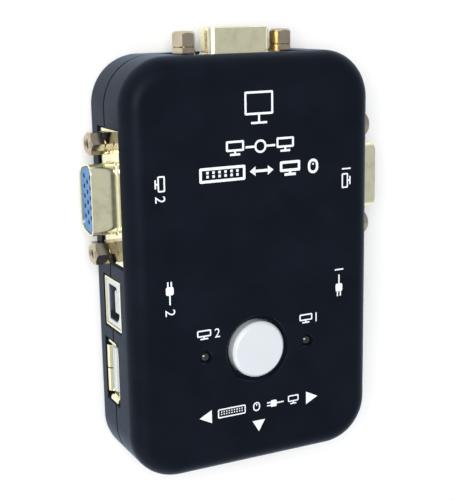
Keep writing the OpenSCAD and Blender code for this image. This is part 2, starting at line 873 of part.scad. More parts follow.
top_cover();
bottom_cover();
case_screws();
circuit_board();
board_screws();
on_side("console", 0) video_shell();  // video_shell_console
on_side("right", video_y) video_shell();  // video_shell_pc1
on_side("left", video_y) video_shell();  // video_shell_pc2
on_side("console", 0) video_insulator();  // video_insulator_console
on_side("right", video_y) video_insulator();  // video_insulator_pc1
on_side("left", video_y) video_insulator();  // video_insulator_pc2
on_side("console", 0) video_contacts();  // video_contacts_console
on_side("right", video_y) video_contacts();  // video_contacts_pc1
on_side("left", video_y) video_contacts();  // video_contacts_pc2
on_side("console", 0) video_brackets();  // video_brackets_console
on_side("right", video_y) video_brackets();  // video_brackets_pc1
on_side("left", video_y) video_brackets();  // video_brackets_pc2
on_side("console", 0) video_jackscrews(30);  // video_jackscrews_console
on_side("right", video_y) video_jackscrews(0);  // video_jackscrews_pc1
on_side("left", video_y) video_jackscrews(0);  // video_jackscrews_pc2
on_side("right", square_y) square_shell();  // square_shell_pc1
on_side("left", square_y) square_shell();  // square_shell_pc2
on_side("right", square_y) square_insulator();  // square_insulator_pc1
on_side("left", square_y) square_insulator();  // square_insulator_pc2
on_side("right", square_y) square_contacts();  // square_contacts_pc1
on_side("left", square_y) square_contacts();  // square_contacts_pc2
on_side("left", flat_y) flat_shell();  // flat_shell_left
on_side("right", flat_y) flat_shell();  // flat_shell_right
on_side("end", 0) flat_shell();  // flat_shell_end
on_side("left", flat_y) flat_insulator();  // flat_insulator_left
on_side("right", flat_y) flat_insulator();  // flat_insulator_right
on_side("end", 0) flat_insulator();  // flat_insulator_end
on_side("left", flat_y) flat_contacts();  // flat_contacts_left
on_side("right", flat_y) flat_contacts();  // flat_contacts_right
on_side("end", 0) flat_contacts();  // flat_contacts_end
button_cap();
switch_plunger();
switch_spring();
switch_housing();
switch_pins();
lamp(1);  // lamp_1
lamp(-1);  // lamp_2
lamp_leads();
control_chip();
video_chips();
chip_legs();
crystal();
capacitors();
resistors();
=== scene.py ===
import json
import math
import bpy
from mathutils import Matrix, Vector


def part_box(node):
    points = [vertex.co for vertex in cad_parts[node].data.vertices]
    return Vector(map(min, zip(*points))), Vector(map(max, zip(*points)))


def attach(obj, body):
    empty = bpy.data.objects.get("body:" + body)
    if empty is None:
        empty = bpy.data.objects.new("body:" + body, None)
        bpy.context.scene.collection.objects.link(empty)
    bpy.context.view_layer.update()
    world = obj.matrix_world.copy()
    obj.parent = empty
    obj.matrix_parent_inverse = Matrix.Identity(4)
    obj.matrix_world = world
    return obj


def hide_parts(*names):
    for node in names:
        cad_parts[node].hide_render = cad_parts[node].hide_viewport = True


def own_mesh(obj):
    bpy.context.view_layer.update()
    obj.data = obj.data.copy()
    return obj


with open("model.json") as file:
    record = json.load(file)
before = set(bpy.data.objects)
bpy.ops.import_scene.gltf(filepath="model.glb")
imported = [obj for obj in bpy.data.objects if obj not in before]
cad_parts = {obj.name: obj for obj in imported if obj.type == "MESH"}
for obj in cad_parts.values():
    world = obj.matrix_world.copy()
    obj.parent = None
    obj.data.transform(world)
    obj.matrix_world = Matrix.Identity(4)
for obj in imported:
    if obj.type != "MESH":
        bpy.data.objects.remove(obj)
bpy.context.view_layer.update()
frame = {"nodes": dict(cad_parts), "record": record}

from types import SimpleNamespace

import bmesh
import bpy
from bpy.props import FloatProperty, FloatVectorProperty, PointerProperty
from mathutils import Matrix, Vector

bl_info = {
    "name": "Two-computer desktop switch",
    "version": (1, 0, 0),
    "blender": (4, 5, 0),
    "location": "View3D > Sidebar > Switch",
    "description": "Builds the pieces, finishes and stage of a two-computer desktop switch",
    "category": "Add Mesh",
}

# Pieces are modelled in millimetres and made metres when they are finished
MM = 0.001
# How far a cutter runs past the face that it opens
OVER = 1.0
# How far a part runs into the one that it is joined to
OVERLAP = 0.2
# Places nearer than NEAR count as one, and corners nearer than WELD are made one
NEAR = 1e-3
WELD = 1e-4
# Two steps, as (up, inwards), that round the edge of a sheet, and how high they are
SOFT_EDGE = ((0.08, 0.05), (0.04, 0.09))
SOFT_RISE = 0.12
SHARP_ANGLE = math.radians(28)
# Turns a shape drawn upwards about Z so that it is drawn outwards along X
OUTWARDS = Matrix(((0, 0, 1, 0), (1, 0, 0, 0), (0, 1, 0, 0), (0, 0, 0, 1)))
# The way each side faces, in degrees about Z, and the side that each socket is on
SIDES = {"right": 0, "left": 180, "console": 90, "end": -90}
VIDEO = {"console": "console", "pc1": "right", "pc2": "left"}
SQUARE = {"pc1": "right", "pc2": "left"}
FLAT = {"left": "left", "right": "right", "end": "end"}


# ---- Sizes and colours a user may change ----

def length(name, description, millimetres):
    return FloatProperty(name=name, description=description, default=millimetres * MM,
                         min=0, subtype="DISTANCE", unit="LENGTH")


def colour(name, description, value):
    return FloatVectorProperty(name=name, description=description, default=value,
                               size=3, min=0, max=1, subtype="COLOR")


def share(name, description, value):
    return FloatProperty(name=name, description=description, default=value,
                         min=0, max=1, subtype="FACTOR")


class CaseSizes(bpy.types.PropertyGroup):
    corner: length("Corner radius", "Radius of the four upright corners", 11.5)
    face_edge: length("Face edge radius", "Radius of the edge round the front face", 4.5)
    back_edge: length("Back edge radius", "Radius of the edge round the back face", 2.7)
    wall: length("Wall", "Thickness of the two covers", 2.0)
    split: length("Joint height", "Height of the joint between the covers", 10.7)
    seam_width: length("Joint width", "Width of the groove where the covers meet", 0.46)
    seam_depth: length("Joint depth", "Depth of the groove where the covers meet", 0.7)
    cutout_gap: length("Cut-out gap", "Gap around each socket in its cut-out", 0.35)
    cutout_edge: length("Cut-out edge", "Width of the eased edge of each cut-out", 0.16)
    well_radius: length("Well radius", "Radius of the sunken ring round the button", 8.2)
    well_depth: length("Well depth", "Depth of the sunken ring's floor", 1.5)
    bore_radius: length("Button bore", "Radius of the hole the button runs in", 7.2)
    lamp_radius: length("Lamp hole", "Radius of the two lamp holes", 1.65)
    post_in: length("Screw inset", "Distance of a case screw from the side and the end", 7.55)
    post_radius: length("Post radius", "Radius of the posts that the case screws hold", 3.3)
    screw_radius: length("Screw bore", "Radius of the bores for the case screws", 1.5)
    head_bore: length("Head bore", "Radius of the counterbores for the screw heads", 2.7)
    head_height: length("Head height", "Height where the screw heads seat", 4.0)
    plastic: colour("Plastic", "Colour of the covers", (0.0042, 0.0054, 0.0092))
    sheen: colour("Plastic bloom", "Lighter tone of the covers", (0.0060, 0.0078, 0.0132))


class VideoSizes(bpy.types.PropertyGroup):
    flange_corner: length("Flange corner", "Corner radius of the flange", 0.7)
    flange_thickness: length("Flange thickness", "Thickness of the flange", 0.8)
    flange_inset: length("Flange inset", "Depth of the flange below the case side", 0.5)
    shell_width: length("Shell width", "Width of the D shell at its long side", 16.3)
    shell_height: length("Shell height", "Height of the D shell", 7.9)
    shell_round: length("Shell rounding", "Radius of the D shell's corners", 2.4)
    shell_wall: length("Shell wall", "Thickness of the shell's sheet", 0.4)
    base_curve: length("Base curve", "Size of the curve from flange into shell", 0.55)
    insert_step: length("Insert step", "Depth of the insert below the shell's rim", 0.4)
    contact_pitch: length("Contact pitch", "Distance between contacts in a row", 2.29)
    contact_row: length("Row distance", "Distance between the rows of contacts", 1.98)
    contact_radius: length("Contact radius", "Outer radius of a contact's sleeve", 0.57)
    contact_step: length("Contact step", "Depth of the contacts below the insert's face", 0.12)
    tail_width: length("Tail width", "Width of a contact's square tail", 0.5)
    contact_hole: length("Contact hole", "Radius of a contact's hole", 0.6)
    jack_pitch: length("Jackscrew distance", "Distance between the two jackscrews", 24.99)
    jack_flats: length("Jackscrew flats", "Jackscrew size across its flats", 5.0)
    jack_nut: length("Nut height", "Height of the nut under a jackscrew", 2.0)
    jack_hole: length("Thread hole", "Inner radius of a jackscrew's thread", 1.13)
    jack_thread: length("Thread crest", "Outer radius of a jackscrew's thread", 1.42)
    jack_hole_depth: length("Thread depth", "Depth of a jackscrew's hole", 4.2)
    thread_pitch: length("Thread pitch", "Distance between turns of the thread", 0.635)
    nickel: colour("Nickel", "Colour of the plated shells", (0.95, 0.92, 0.64))
    stain: colour("Nickel stain", "Colour of the plating where it is duller", (0.52, 0.44, 0.31))
    insert: colour("Insert", "Colour of the moulded insert", (0.045, 0.185, 0.44))


class UsbSizes(bpy.types.PropertyGroup):
    square_wall: length("Square wall", "Sheet thickness of the square socket", 0.5)
    square_rim: length("Square rim", "Wall of the white housing round the mouth", 1.15)
    square_corner: length("Square corner", "Cut across the mouth's two upper corners", 1.6)
    square_floor: length("Square depth", "Depth of the square mouth", 6.5)
    square_tongue: length("Square tongue", "Width of the square socket's tongue", 5.6)
    square_tongue_height: length("Square tongue height", "Height of that tongue", 3.3)
    mouth_width: length("Flat mouth width", "Width of the flat socket's mouth", 12.5)
    mouth_height: length("Flat mouth height", "Height of the flat socket's mouth", 5.12)
    flat_wall: length("Flat wall", "Sheet thickness of the flat socket", 0.3)
    lip_out: length("Lip reach", "How far each flared lip stands out", 1.25)
    lip_run: length("Lip run", "How far each flared lip runs forwards", 1.0)
    flat_tongue: length("Flat tongue", "Width of the flat socket's tongue", 11.1)
    flat_tongue_height: length("Flat tongue height", "Thickness of that tongue", 1.84)
    white: colour("Housing", "Colour of the white housings", (0.60, 0.64, 0.67))


class ButtonSizes(bpy.types.PropertyGroup):
    chamfer: length("Chamfer", "Width of the button's sloped edge", 0.7)
    wall: length("Wall", "Thickness of the button's skirt", 1.6)
    roof: length("Roof", "Thickness of the button's top", 1.8)
    collar: length("Collar", "How far the collar stands out of the skirt", 1.7)
    collar_height: length("Collar height", "Thickness of the collar", 1.2)
    spring_wire: length("Spring wire", "Thickness of the return spring's wire", 0.45)
    spring_seat: length("Spring seat", "Height of the spring's seat in the switch", 0.7)
    hub: length("Hub", "Radius of the hub over the switch stem", 3.6)
    silver: colour("Silver", "Colour of the button", (0.70, 0.74, 0.77))
    smoke: colour("Lamp smoke", "Colour of the unlit lamps", (0.012, 0.013, 0.016))


class MarkSizes(bpy.types.PropertyGroup):
    line: length("Line", "Width of a printed line", 0.5)
    bold: length("Bold line", "Width of a bold printed line", 0.64)
    film: length("Ink film", "Thickness of the print", 0.02)
    ink: colour("Ink", "Colour of the print", (0.84, 0.88, 0.92))


class StageSettings(bpy.types.PropertyGroup):
    floor: colour("Floor", "Colour of the floor", (0.93, 0.93, 0.93))
    key: FloatProperty(name="Key light", description="Power of the main light",
                       default=4.8, min=0, unit="POWER")
    fill: FloatProperty(name="Fill light", description="Power of the fill light",
                        default=0.8, min=0, unit="POWER")
    horizon: share("Horizon", "Brightness of the surroundings at floor level", 0.95)
    zenith: share("Zenith", "Brightness of the surroundings overhead", 0.5)


GROUPS = {"switch_case": CaseSizes, "switch_video": VideoSizes, "switch_usb": UsbSizes,
          "switch_button": ButtonSizes, "switch_marks": MarkSizes, "switch_stage": StageSettings}


def in_mm(group):
    """A group's lengths in millimetres, by name."""
    return SimpleNamespace(**{
        p.identifier: getattr(group, p.identifier) / MM for p in group.bl_rna.properties
        if p.type == "FLOAT" and p.unit == "LENGTH"})


# ---- Places, read from the frame ----

def box_mm(node):
    """The lowest and the highest corner of a node, in millimetres."""
    low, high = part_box(node)
    return low / MM, high / MM


def middle_of(node):
    low, high = box_mm(node)
    return (low + high) / 2


def case_box():
    """The lowest and the highest corner of the case."""
    return box_mm("bottom_cover")[0], box_mm("top_cover")[1]


def on_side(side, node):
    """Where a socket stands: X points out of the case from its side, level with the node."""
    middle = middle_of(node)
    case_high = case_box()[1]
    if side in ("right", "left"):
        middle.x = math.copysign(case_high.x, middle.x)
    else:
        middle.y = math.copysign(case_high.y, middle.y)
    return Matrix.Translation(middle) @ Matrix.Rotation(math.radians(SIDES[side]), 4, "Z")


def socket_place(side, node):
    """The place that a socket is drawn at, with Z pointing out of the case and Y up."""
    return on_side(side, node) @ OUTWARDS


def span(node, side):
    """Length along the side, height, depth of the front and depth of the back of a node."""
    inverse = socket_place(side, node).inverted()
    corners = [inverse @ corner for corner in box_mm(node)]
    return (abs(corners[0].x - corners[1].x), abs(corners[0].y - corners[1].y),
            max(c.z for c in corners), min(c.z for c in corners))


# ---- Shapes ----

def block(low, high):
    """A box between two corners."""
    bm = bmesh.new()
    low, high = Vector(low), Vector(high)
    bmesh.ops.create_cube(bm, size=1)
    bmesh.ops.scale(bm, vec=high - low, verts=bm.verts)
    bmesh.ops.translate(bm, vec=(low + high) / 2, verts=bm.verts)
    return bm


def bevel(bm, geom, offset, segments, affect="EDGES"):
    bmesh.ops.bevel(bm, geom=geom, offset=offset, offset_type="OFFSET", affect=affect,
                    segments=segments, profile=0.5, material=-1)


def outline(width, height, corner=0.0, segments=4):
    """One flat face about the Z axis, facing up, with rounded corners."""
    bm = bmesh.new()
    bmesh.ops.create_grid(bm, x_segments=1, y_segments=1, size=0.5)
    bmesh.ops.scale(bm, vec=(width, height, 1), verts=bm.verts)
    if corner:
        bevel(bm, bm.verts[:], corner, segments, "VERTICES")
    return bm


def disc(radius, segments=40, turn=0.0):
    """One flat round or many-sided face, facing up, with a corner on Y before it is turned."""
    bm = bmesh.new()
    bmesh.ops.create_circle(bm, cap_ends=True, segments=segments, radius=radius)
    bmesh.ops.rotate(bm, matrix=Matrix.Rotation(turn, 3, "Z"), verts=bm.verts)
    if bm.faces[:][0].normal.z < 0:
        bmesh.ops.reverse_faces(bm, faces=bm.faces)
    return bm


def closed(bm):
    """Welds a mesh, fills what is open in it and turns its faces outwards."""
    bmesh.ops.remove_doubles(bm, verts=bm.verts, dist=WELD)
    open_edges = [e for e in bm.edges if e.is_boundary]
    if open_edges:
        bmesh.ops.holes_fill(bm, edges=open_edges, sides=0)
    bmesh.ops.recalc_face_normals(bm, faces=bm.faces)
    return bm


def drawn(bm, start, *steps):
    """Stands an outline at a height and draws it on: each step is (up, inwards)."""
    bmesh.ops.translate(bm, vec=(0, 0, start), verts=bm.verts)
    bm.faces.ensure_lookup_table()
    face = bm.faces[0]
    for up, inwards in steps:
        bm.normal_update()
        bmesh.ops.inset_region(bm, faces=[face], thickness=inwards, depth=up,
                               use_even_offset=True, use_boundary=True)
    return closed(bm)


def lathe(profile, segments=56):
    """Turns a profile of (radius, height) pairs about the Z axis."""
    bm = bmesh.new()
    verts = [bm.verts.new((radius, 0, z)) for radius, z in profile]
    edges = [bm.edges.new(pair) for pair in zip(verts, verts[1:])]
    bmesh.ops.spin(bm, geom=verts + edges, axis=(0, 0, 1), cent=(0, 0, 0), steps=segments,
                   angle=math.tau, use_merge=True)
    return closed(bm)


def eased_hole(radius, face, ease, depth, segments):
    """Cuts a round hole down from a face, its mouth eased."""
    return lathe([(0, face + OVER), (radius + ease + OVER, face + OVER), (radius, face - ease),
                  (radius, face - depth), (0, face - depth)], segments)


def moved(bm, x=0.0, y=0.0, z=0.0, matrix=None):
    bmesh.ops.transform(bm, matrix=matrix or Matrix.Translation((x, y, z)), verts=bm.verts)
    return bm


def joined(*parts):
    """Puts several meshes into the first one."""
    whole = parts[0]
    for part in parts[1:]:
        mesh = bpy.data.meshes.new("part")
        part.to_mesh(mesh)
        whole.from_mesh(mesh)
        part.free()
        bpy.data.meshes.remove(mesh)
    return whole


def loose(bm):
    """A passing object that holds a mesh for a boolean operation."""
    mesh = bpy.data.meshes.new("tool")
    bm.to_mesh(mesh)
    bm.free()
    piece = bpy.data.objects.new("tool", mesh)
    bpy.context.scene.collection.objects.link(piece)
    return piece


def combined(base, tool, operation):
    """One closed mesh from two, by a boolean operation."""
    base, tool = loose(base), loose(tool)
    cut = base.modifiers.new("cut", "BOOLEAN")
    cut.operation, cut.solver, cut.object = operation, "EXACT", tool
    graph = bpy.context.evaluated_depsgraph_get()
    mesh = bpy.data.meshes.new_from_object(base.evaluated_get(graph))
    result = bmesh.new()
    result.from_mesh(mesh)
    for thing in (base, tool):
        data = thing.data
        bpy.data.objects.remove(thing)
        bpy.data.meshes.remove(data)
    bpy.data.meshes.remove(mesh)
    if not result.faces:
        raise RuntimeError(f"a {operation.lower()} left nothing of the piece")
    bmesh.ops.remove_doubles(result, verts=result.verts, dist=WELD)
    bmesh.ops.dissolve_degenerate(result, edges=result.edges, dist=WELD)
    return result


def cut_by(base, *tools):
    return combined(base, joined(*tools), "DIFFERENCE")


def with_added(base, *tools):
    for tool in tools:
        base = combined(base, tool, "UNION")
    return base


def make_piece(name, bm, finish, body, replaced=(), matrix=None, flats=True):
    """Makes a finished piece in metres that rides on a body."""
    if matrix is not None:
        bmesh.ops.transform(bm, matrix=matrix, verts=bm.verts)
    bmesh.ops.scale(bm, vec=(MM, MM, MM), verts=bm.verts)
    mesh = bpy.data.meshes.new(name)
    bm.to_mesh(mesh)
    bm.free()
    mesh.shade_smooth()
    mesh.set_sharp_from_angle(angle=SHARP_ANGLE)
    mesh.materials.append(finish)
    piece = bpy.data.objects.new(name, mesh)
    bpy.context.scene.collection.objects.link(piece)
    if flats:
        normals = piece.modifiers.new("flat faces", "WEIGHTED_NORMAL")
        normals.keep_sharp = True
    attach(piece, body)
    if replaced:
        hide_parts(*replaced)
    return piece


# ---- Finishes ----

class Value:
    """A shader value that takes part in ordinary sums; each sum adds its Math node."""

    def __init__(self, nodes, socket):
        self.nodes, self.socket = nodes, socket

    def sum(self, operation, left, right):
        return self.nodes.node("ShaderNodeMath", {"operation": operation}, {0: left, 1: right})

    def __add__(self, other):
        return self.sum("ADD", self, other)

    def __mul__(self, other):
        return self.sum("MULTIPLY", self, other)

    __radd__, __rmul__ = __add__, __mul__


class Nodes:
    """A node tree under construction."""

    def __init__(self, tree):
        self.tree = tree

    def node(self, kind, settings, inputs, output=0):
        made = self.tree.nodes.new(kind)
        for name, value in settings.items():
            setattr(made, name, value)
        for name, value in inputs.items():
            if isinstance(value, Value):
                self.tree.links.new(value.socket, made.inputs[name])
            else:
                made.inputs[name].default_value = value
        return Value(self, made.outputs[output])

    def ranged(self, value, low, high, to_low=0.0, to_high=1.0):
        return self.node("ShaderNodeMapRange", {"clamp": True},
                         {"Value": value, "From Min": low, "From Max": high,
                          "To Min": to_low, "To Max": to_high})


class Finish(Nodes):
    """A material under construction, with its pattern on Object coordinates."""

    def __init__(self, name, **constants):
        self.material = bpy.data.materials.new(name)
        self.material.use_nodes = True
        super().__init__(self.material.node_tree)
        self.shader = self.tree.nodes["Principled BSDF"]
        for socket, value in constants.items():
            self.shader.inputs[socket.replace("_", " ")].default_value = value
        self.place = self.node("ShaderNodeTexCoord", {}, {}, "Object")

    def noise(self, millimetres, detail=2.0, roughness=0.5, stretch=(1, 1, 1)):
        """Noise whose blotches are about this wide, drawn out along an axis by stretch."""
        where = self.node("ShaderNodeMapping", {}, {"Vector": self.place, "Scale": stretch})
        return self.node("ShaderNodeTexNoise", {"noise_dimensions": "3D"},
                         {"Vector": where, "Scale": 1 / (millimetres * MM), "Detail": detail,
                          "Roughness": roughness})

    def mixed(self, factor, first, second):
        first, second = ((*c, 1) if not isinstance(c, Value) else c for c in (first, second))
        return self.node("ShaderNodeMix", {"data_type": "RGBA"},
                         {0: factor, 6: first, 7: second}, 2)

    def into(self, **links):
        """Links values to the shader's own sockets and returns the material."""
        for name, value in links.items():
            self.tree.links.new(value.socket, self.shader.inputs[name.replace("_", " ")])
        return self.material

    def bump(self, height, millimetres, strength=1.0):
        return self.node("ShaderNodeBump", {}, {"Height": height, "Distance": millimetres * MM,
                                               "Strength": strength})


def moulded(name, tone, second, grain=0.3, depth=0.006, rough=(0.4, 0.55), **constants):
    """Moulded plastic: a fine grain over slow clouds of a second tone."""
    f = Finish(name, **constants)
    clouds = f.noise(9, detail=3)
    fine = f.noise(grain, detail=3, roughness=0.6)
    blend = f.ranged(clouds * 0.7 + fine * 0.3, 0.35, 0.65)
    return f.into(Base_Color=f.mixed(blend, tone, second),
                  Roughness=f.ranged(fine * 0.6 + clouds * 0.4, 0.3, 0.7, *rough),
                  Normal=f.bump(fine, depth))


def plated(name, tone, second, rough=(0.14, 0.32), scratch=(1, 1, 9), metallic=1.0):
    """Plated sheet: duller stains, fine drawn lines and a slight ripple."""
    f = Finish(name, Metallic=metallic)
    stains = f.noise(3.5, detail=4, roughness=0.6)
    lines = f.noise(0.9, detail=3, stretch=scratch)
    ripple = f.noise(2.2, detail=1)
    dull = f.ranged(stains, 0.45, 0.75, 0.0, 0.35)
    return f.into(Base_Color=f.mixed(dull, tone, second),
                  Roughness=f.ranged(lines * 0.5 + stains * 0.5, 0.3, 0.7, *rough),
                  Normal=f.bump(lines * 0.15 + ripple * 0.85, 0.012))


def brushed_silver(tone):
    """Silver lacquer with fine sparkle and faint straight brushing."""
    f = Finish("button silver", Metallic=0.12, Coat_Roughness=0.12, Coat_Weight=0.2)
    lines = f.noise(0.5, detail=2, stretch=(1, 14, 1))
    sparkle = f.noise(0.12, detail=1)
    clouds = f.noise(7)
    shade = f.ranged(lines * 0.6 + clouds * 0.4, 0.3, 0.7)
    darker = tuple(c * 0.93 for c in tone)
    return f.into(Base_Color=f.mixed(shade, darker, tone),
                  Roughness=f.ranged(sparkle * 0.5 + lines * 0.5, 0.3, 0.7, 0.24, 0.38),
                  Normal=f.bump(lines * 0.5 + sparkle * 0.5, 0.004))


def printed(tone):
    """Printed ink: slightly uneven cover with pinholes."""
    f = Finish("printed ink", Specular_IOR_Level=0.3)
    speck = f.noise(0.14, detail=2)
    clouds = f.noise(2.5)
    thin = f.ranged(speck, 0.62, 0.78, 0.0, 0.45)
    worn = tuple(c * 0.55 for c in tone)
    return f.into(Base_Color=f.mixed(thin + clouds * 0.12, tone, worn),
                  Roughness=f.ranged(speck, 0.3, 0.7, 0.5, 0.65),
                  Normal=f.bump(speck, 0.004))


def fibreboard():
    """Green lacquer over a woven glass board."""
    f = Finish("board lacquer", Coat_Roughness=0.2)
    warp = f.noise(0.8, stretch=(1, 6, 1))
    weft = f.noise(0.8, stretch=(6, 1, 1))
    cloth = f.ranged(warp * 0.5 + weft * 0.5, 0.35, 0.65)
    return f.into(Base_Color=f.mixed(cloth, (0.010, 0.085, 0.030), (0.020, 0.135, 0.052)),
                  Roughness=f.ranged(cloth, 0, 1, 0.28, 0.42), Normal=f.bump(cloth, 0.02))


FINISHES = {}


def finish(name):
    """A finish by name; each is made once, from the colours in the sidebar."""
    if name not in FINISHES:
        scene = bpy.context.scene
        case, video, usb = scene.switch_case, scene.switch_video, scene.switch_usb
        button = scene.switch_button
        makers = {
            "case plastic": lambda: moulded(
                "case plastic", tuple(case.plastic), tuple(case.sheen), 0.34, 0.010,
                (0.36, 0.46), Specular_IOR_Level=0.06,
                Specular_Tint=(0.70, 0.85, 1.0, 1.0), Sheen_Weight=0.16, Sheen_Roughness=0.35,
                Sheen_Tint=(0.30, 0.56, 1.0, 1.0)),
            "nickel": lambda: plated("nickel plate", tuple(video.nickel), tuple(video.stain),
                                     (0.09, 0.18), metallic=0.9),
            "screw nickel": lambda: plated("screw nickel", (0.50, 0.43, 0.32), (0.24, 0.13, 0.08),
                                           (0.08, 0.18), (1, 1, 5)),
            "tin": lambda: plated("tin plate", (0.62, 0.62, 0.60), (0.42, 0.42, 0.40)),
            # The liner's dark tone is painted shade for the inside of the square sockets' mouths
            "shade tin": lambda: plated("mouth shade tin", (0.20, 0.22, 0.26), (0.12, 0.12, 0.14),
                                       (0.25, 0.4)),
            "gold": lambda: plated("contact gold", (0.72, 0.50, 0.18), (0.48, 0.30, 0.10)),
            # The contacts' near-black tone is painted shade: gold contacts that look dark deep in
            # their holes
            "shaded gold": lambda: plated("contact gold in painted shade", (0.045, 0.040, 0.050), (0.022, 0.018, 0.020),
                                     (0.3, 0.5)),
            "steel": lambda: plated("spring steel", (0.50, 0.50, 0.50), (0.33, 0.32, 0.31)),
            "insert blue": lambda: moulded(
                "insert blue", tuple(video.insert), tuple(c * 0.85 for c in video.insert),
                0.4, 0.006, (0.34, 0.46)),
            "housing white": lambda: moulded(
                "housing white", tuple(usb.white), tuple(c * 0.92 for c in usb.white),
                0.5, 0.006, (0.32, 0.46)),
            "button silver": lambda: brushed_silver(tuple(button.silver)),
            "lamp smoke": lambda: moulded(
                "lamp smoke", tuple(button.smoke), tuple(c * 0.6 for c in button.smoke),
                0.9, 0.002, (0.08, 0.16), Coat_Weight=0.6, Coat_Roughness=0.05),
            "black plastic": lambda: moulded(
                "stem plastic", (0.012, 0.012, 0.013), (0.022, 0.022, 0.023)),
            "chip": lambda: moulded("chip epoxy", (0.010, 0.010, 0.011), (0.022, 0.022, 0.022),
                                    0.2, 0.010, (0.45, 0.65)),
            "sleeve": lambda: moulded("capacitor sleeve", (0.012, 0.016, 0.045),
                                      (0.020, 0.026, 0.065), 0.5, 0.004, (0.22, 0.34)),
            "board": fibreboard,
            "ink": lambda: printed(tuple(scene.switch_marks.ink)),
        }
        FINISHES[name] = makers[name]()
    return FINISHES[name]


# ---- Case ----

# The eased edge of each cover at their joint, and the height of the band behind the groove
JOINT_EDGE = 0.12
JOINT_BAND = 3
# An edge of this radius or less is rounded in two steps
SMALL_EDGE = 0.3


def case_form(low, high, inset, corner, low_edge, high_edge):
    """The rounded block of the case between two heights, drawn in by inset."""
    ends = case_box()[1]
    form = block((inset - ends.x, inset - ends.y, low), (ends.x - inset, ends.y - inset, high))
    upright = [e for e in form.edges if abs(e.verts[0].co.z - e.verts[1].co.z) > NEAR]
    bevel(form, upright, corner - inset, 20)
    for z, radius, segments in ((low, low_edge, 6), (high, high_edge, 10)):
        if radius:
            rim = [e for e in form.edges if all(abs(v.co.z - z) < NEAR for v in e.verts)]
            bevel(form, rim, radius, segments if radius > SMALL_EDGE else 2)
    return closed(form)


def cutout_tool(width, height, edge, deep):
    """Cuts a rectangular opening inwards from a side, its outer edge eased."""
    face = outline(width + 2 * (edge + OVER), height + 2 * (edge + OVER))
    # The wide end lies outside the case and narrows to the opening at the side
    bmesh.ops.reverse_faces(face, faces=face.faces)
    return drawn(face, OVER, (OVER + edge, OVER + edge), (deep, 0))


def socket_cutters(sizes):
    """One cutter for every opening in the sides and ends of the case."""
    gap = 2 * sizes.cutout_gap
    for kind, places in (("video", VIDEO), ("square", SQUARE), ("flat", FLAT)):
        for node, side in places.items():
            name = f"{kind}_shell_{node}"
            width, height = span(name, side)[:2]
            yield moved(cutout_tool(width + gap, height + gap, sizes.cutout_edge,
                                    sizes.wall + OVER), matrix=socket_place(side, name))


def post_places(sizes):
    """The four places, in X and Y, of the case screws and their posts."""
    ends = case_box()[1]
    x, y = ends.x - sizes.post_in, ends.y - sizes.post_in
    for across in (-1, 1):
        for along in (-1, 1):
            yield across * x, along * y


def four_posts(sizes, radius, low, high):
    return [moved(drawn(disc(radius, segments=32), low, (high - low, 0)), x, y)
            for x, y in post_places(sizes)]


def button_well(s, top):
    """Cuts the sunken ring round the button, and the bore that the button runs in."""
    mouth_ease, floor_round, bore_ease, bore_deep = 0.3, 0.15, 0.12, 6
    floor = top - s.well_depth
    return lathe([(0, top + OVER), (s.well_radius + mouth_ease + OVER, top + OVER),
                  (s.well_radius, top - mouth_ease), (s.well_radius, floor + floor_round),
                  (s.well_radius - floor_round, floor), (s.bore_radius + bore_ease, floor),
                  (s.bore_radius, floor - bore_ease), (s.bore_radius, top - bore_deep),
                  (0, top - bore_deep)], 72)


def front_cover(s):
    """The cover with the button well, the lamp holes and the posts for the case screws."""
    guide_wall, guide_length = 1.4, 4.3
    lamp_ease, lamp_deep, screw_end = 0.08, 4, 15.0
    top = case_box()[1].z
    roof = top - s.wall
    button = middle_of("button_cap")
    lamps = [middle_of(node) for node in ("lamp_1", "lamp_2")]

    cover = case_form(s.split + s.seam_width / 2, top, 0, s.corner, JOINT_EDGE, s.face_edge)
    cover = with_added(cover, case_form(s.split, s.split + JOINT_BAND, s.seam_depth, s.corner,
                                        0, 0))
    cover = cut_by(cover, case_form(s.split - OVER, roof, s.wall, s.corner, 0,
                                    s.face_edge - s.wall))
    cover = cut_by(cover, *socket_cutters(s))
    cover = with_added(cover, *four_posts(s, s.post_radius, s.split, roof + OVERLAP))
    guide = drawn(disc(s.well_radius + guide_wall, segments=64), top - guide_length,
                  (guide_length - s.wall + OVERLAP, 0))
    cover = with_added(cover, moved(guide, button.x, button.y))
    lamp_holes = [moved(eased_hole(s.lamp_radius, top, lamp_ease, lamp_deep, 40), at.x, at.y)
                  for at in lamps]
    cover = cut_by(cover, moved(button_well(s, top), button.x, button.y), *lamp_holes)
    return cut_by(cover, *four_posts(s, s.screw_radius, s.split - OVER, screw_end))


def back_cover(s):
    """The cover that stands on the floor, with counterbores for the case screws' heads."""
    cover = case_form(0, s.split - s.seam_width / 2, 0, s.corner, s.back_edge, JOINT_EDGE)
    cover = with_added(cover, case_form(s.split - JOINT_BAND, s.split, s.seam_depth, s.corner,
                                        0, 0))
    cover = cut_by(cover, case_form(s.wall, s.split + OVER, s.wall, s.corner,
                                    s.back_edge - s.wall, 0))
    cover = cut_by(cover, *socket_cutters(s))
    cover = with_added(cover, *four_posts(s, s.post_radius, s.wall - OVERLAP, s.split))
    cover = cut_by(cover, *four_posts(s, s.screw_radius, s.head_height - OVER, s.split + OVER))
    return cut_by(cover, *four_posts(s, s.head_bore, -OVER, s.head_height))


class SWITCH_OT_case(bpy.types.Operator):
    """Builds the top and bottom covers, with their joint, openings, well and screw posts"""
    bl_idname = "switch.case"
    bl_label = "Case covers"

    def execute(self, context):
        s = in_mm(context.scene.switch_case)
        make_piece("case_front_cover", front_cover(s), finish("case plastic"), "case",
                   ("top_cover",))
        make_piece("case_back_cover", back_cover(s), finish("case plastic"), "case",
                   ("bottom_cover",))
        return {"FINISHED"}


# ---- Video sockets ----

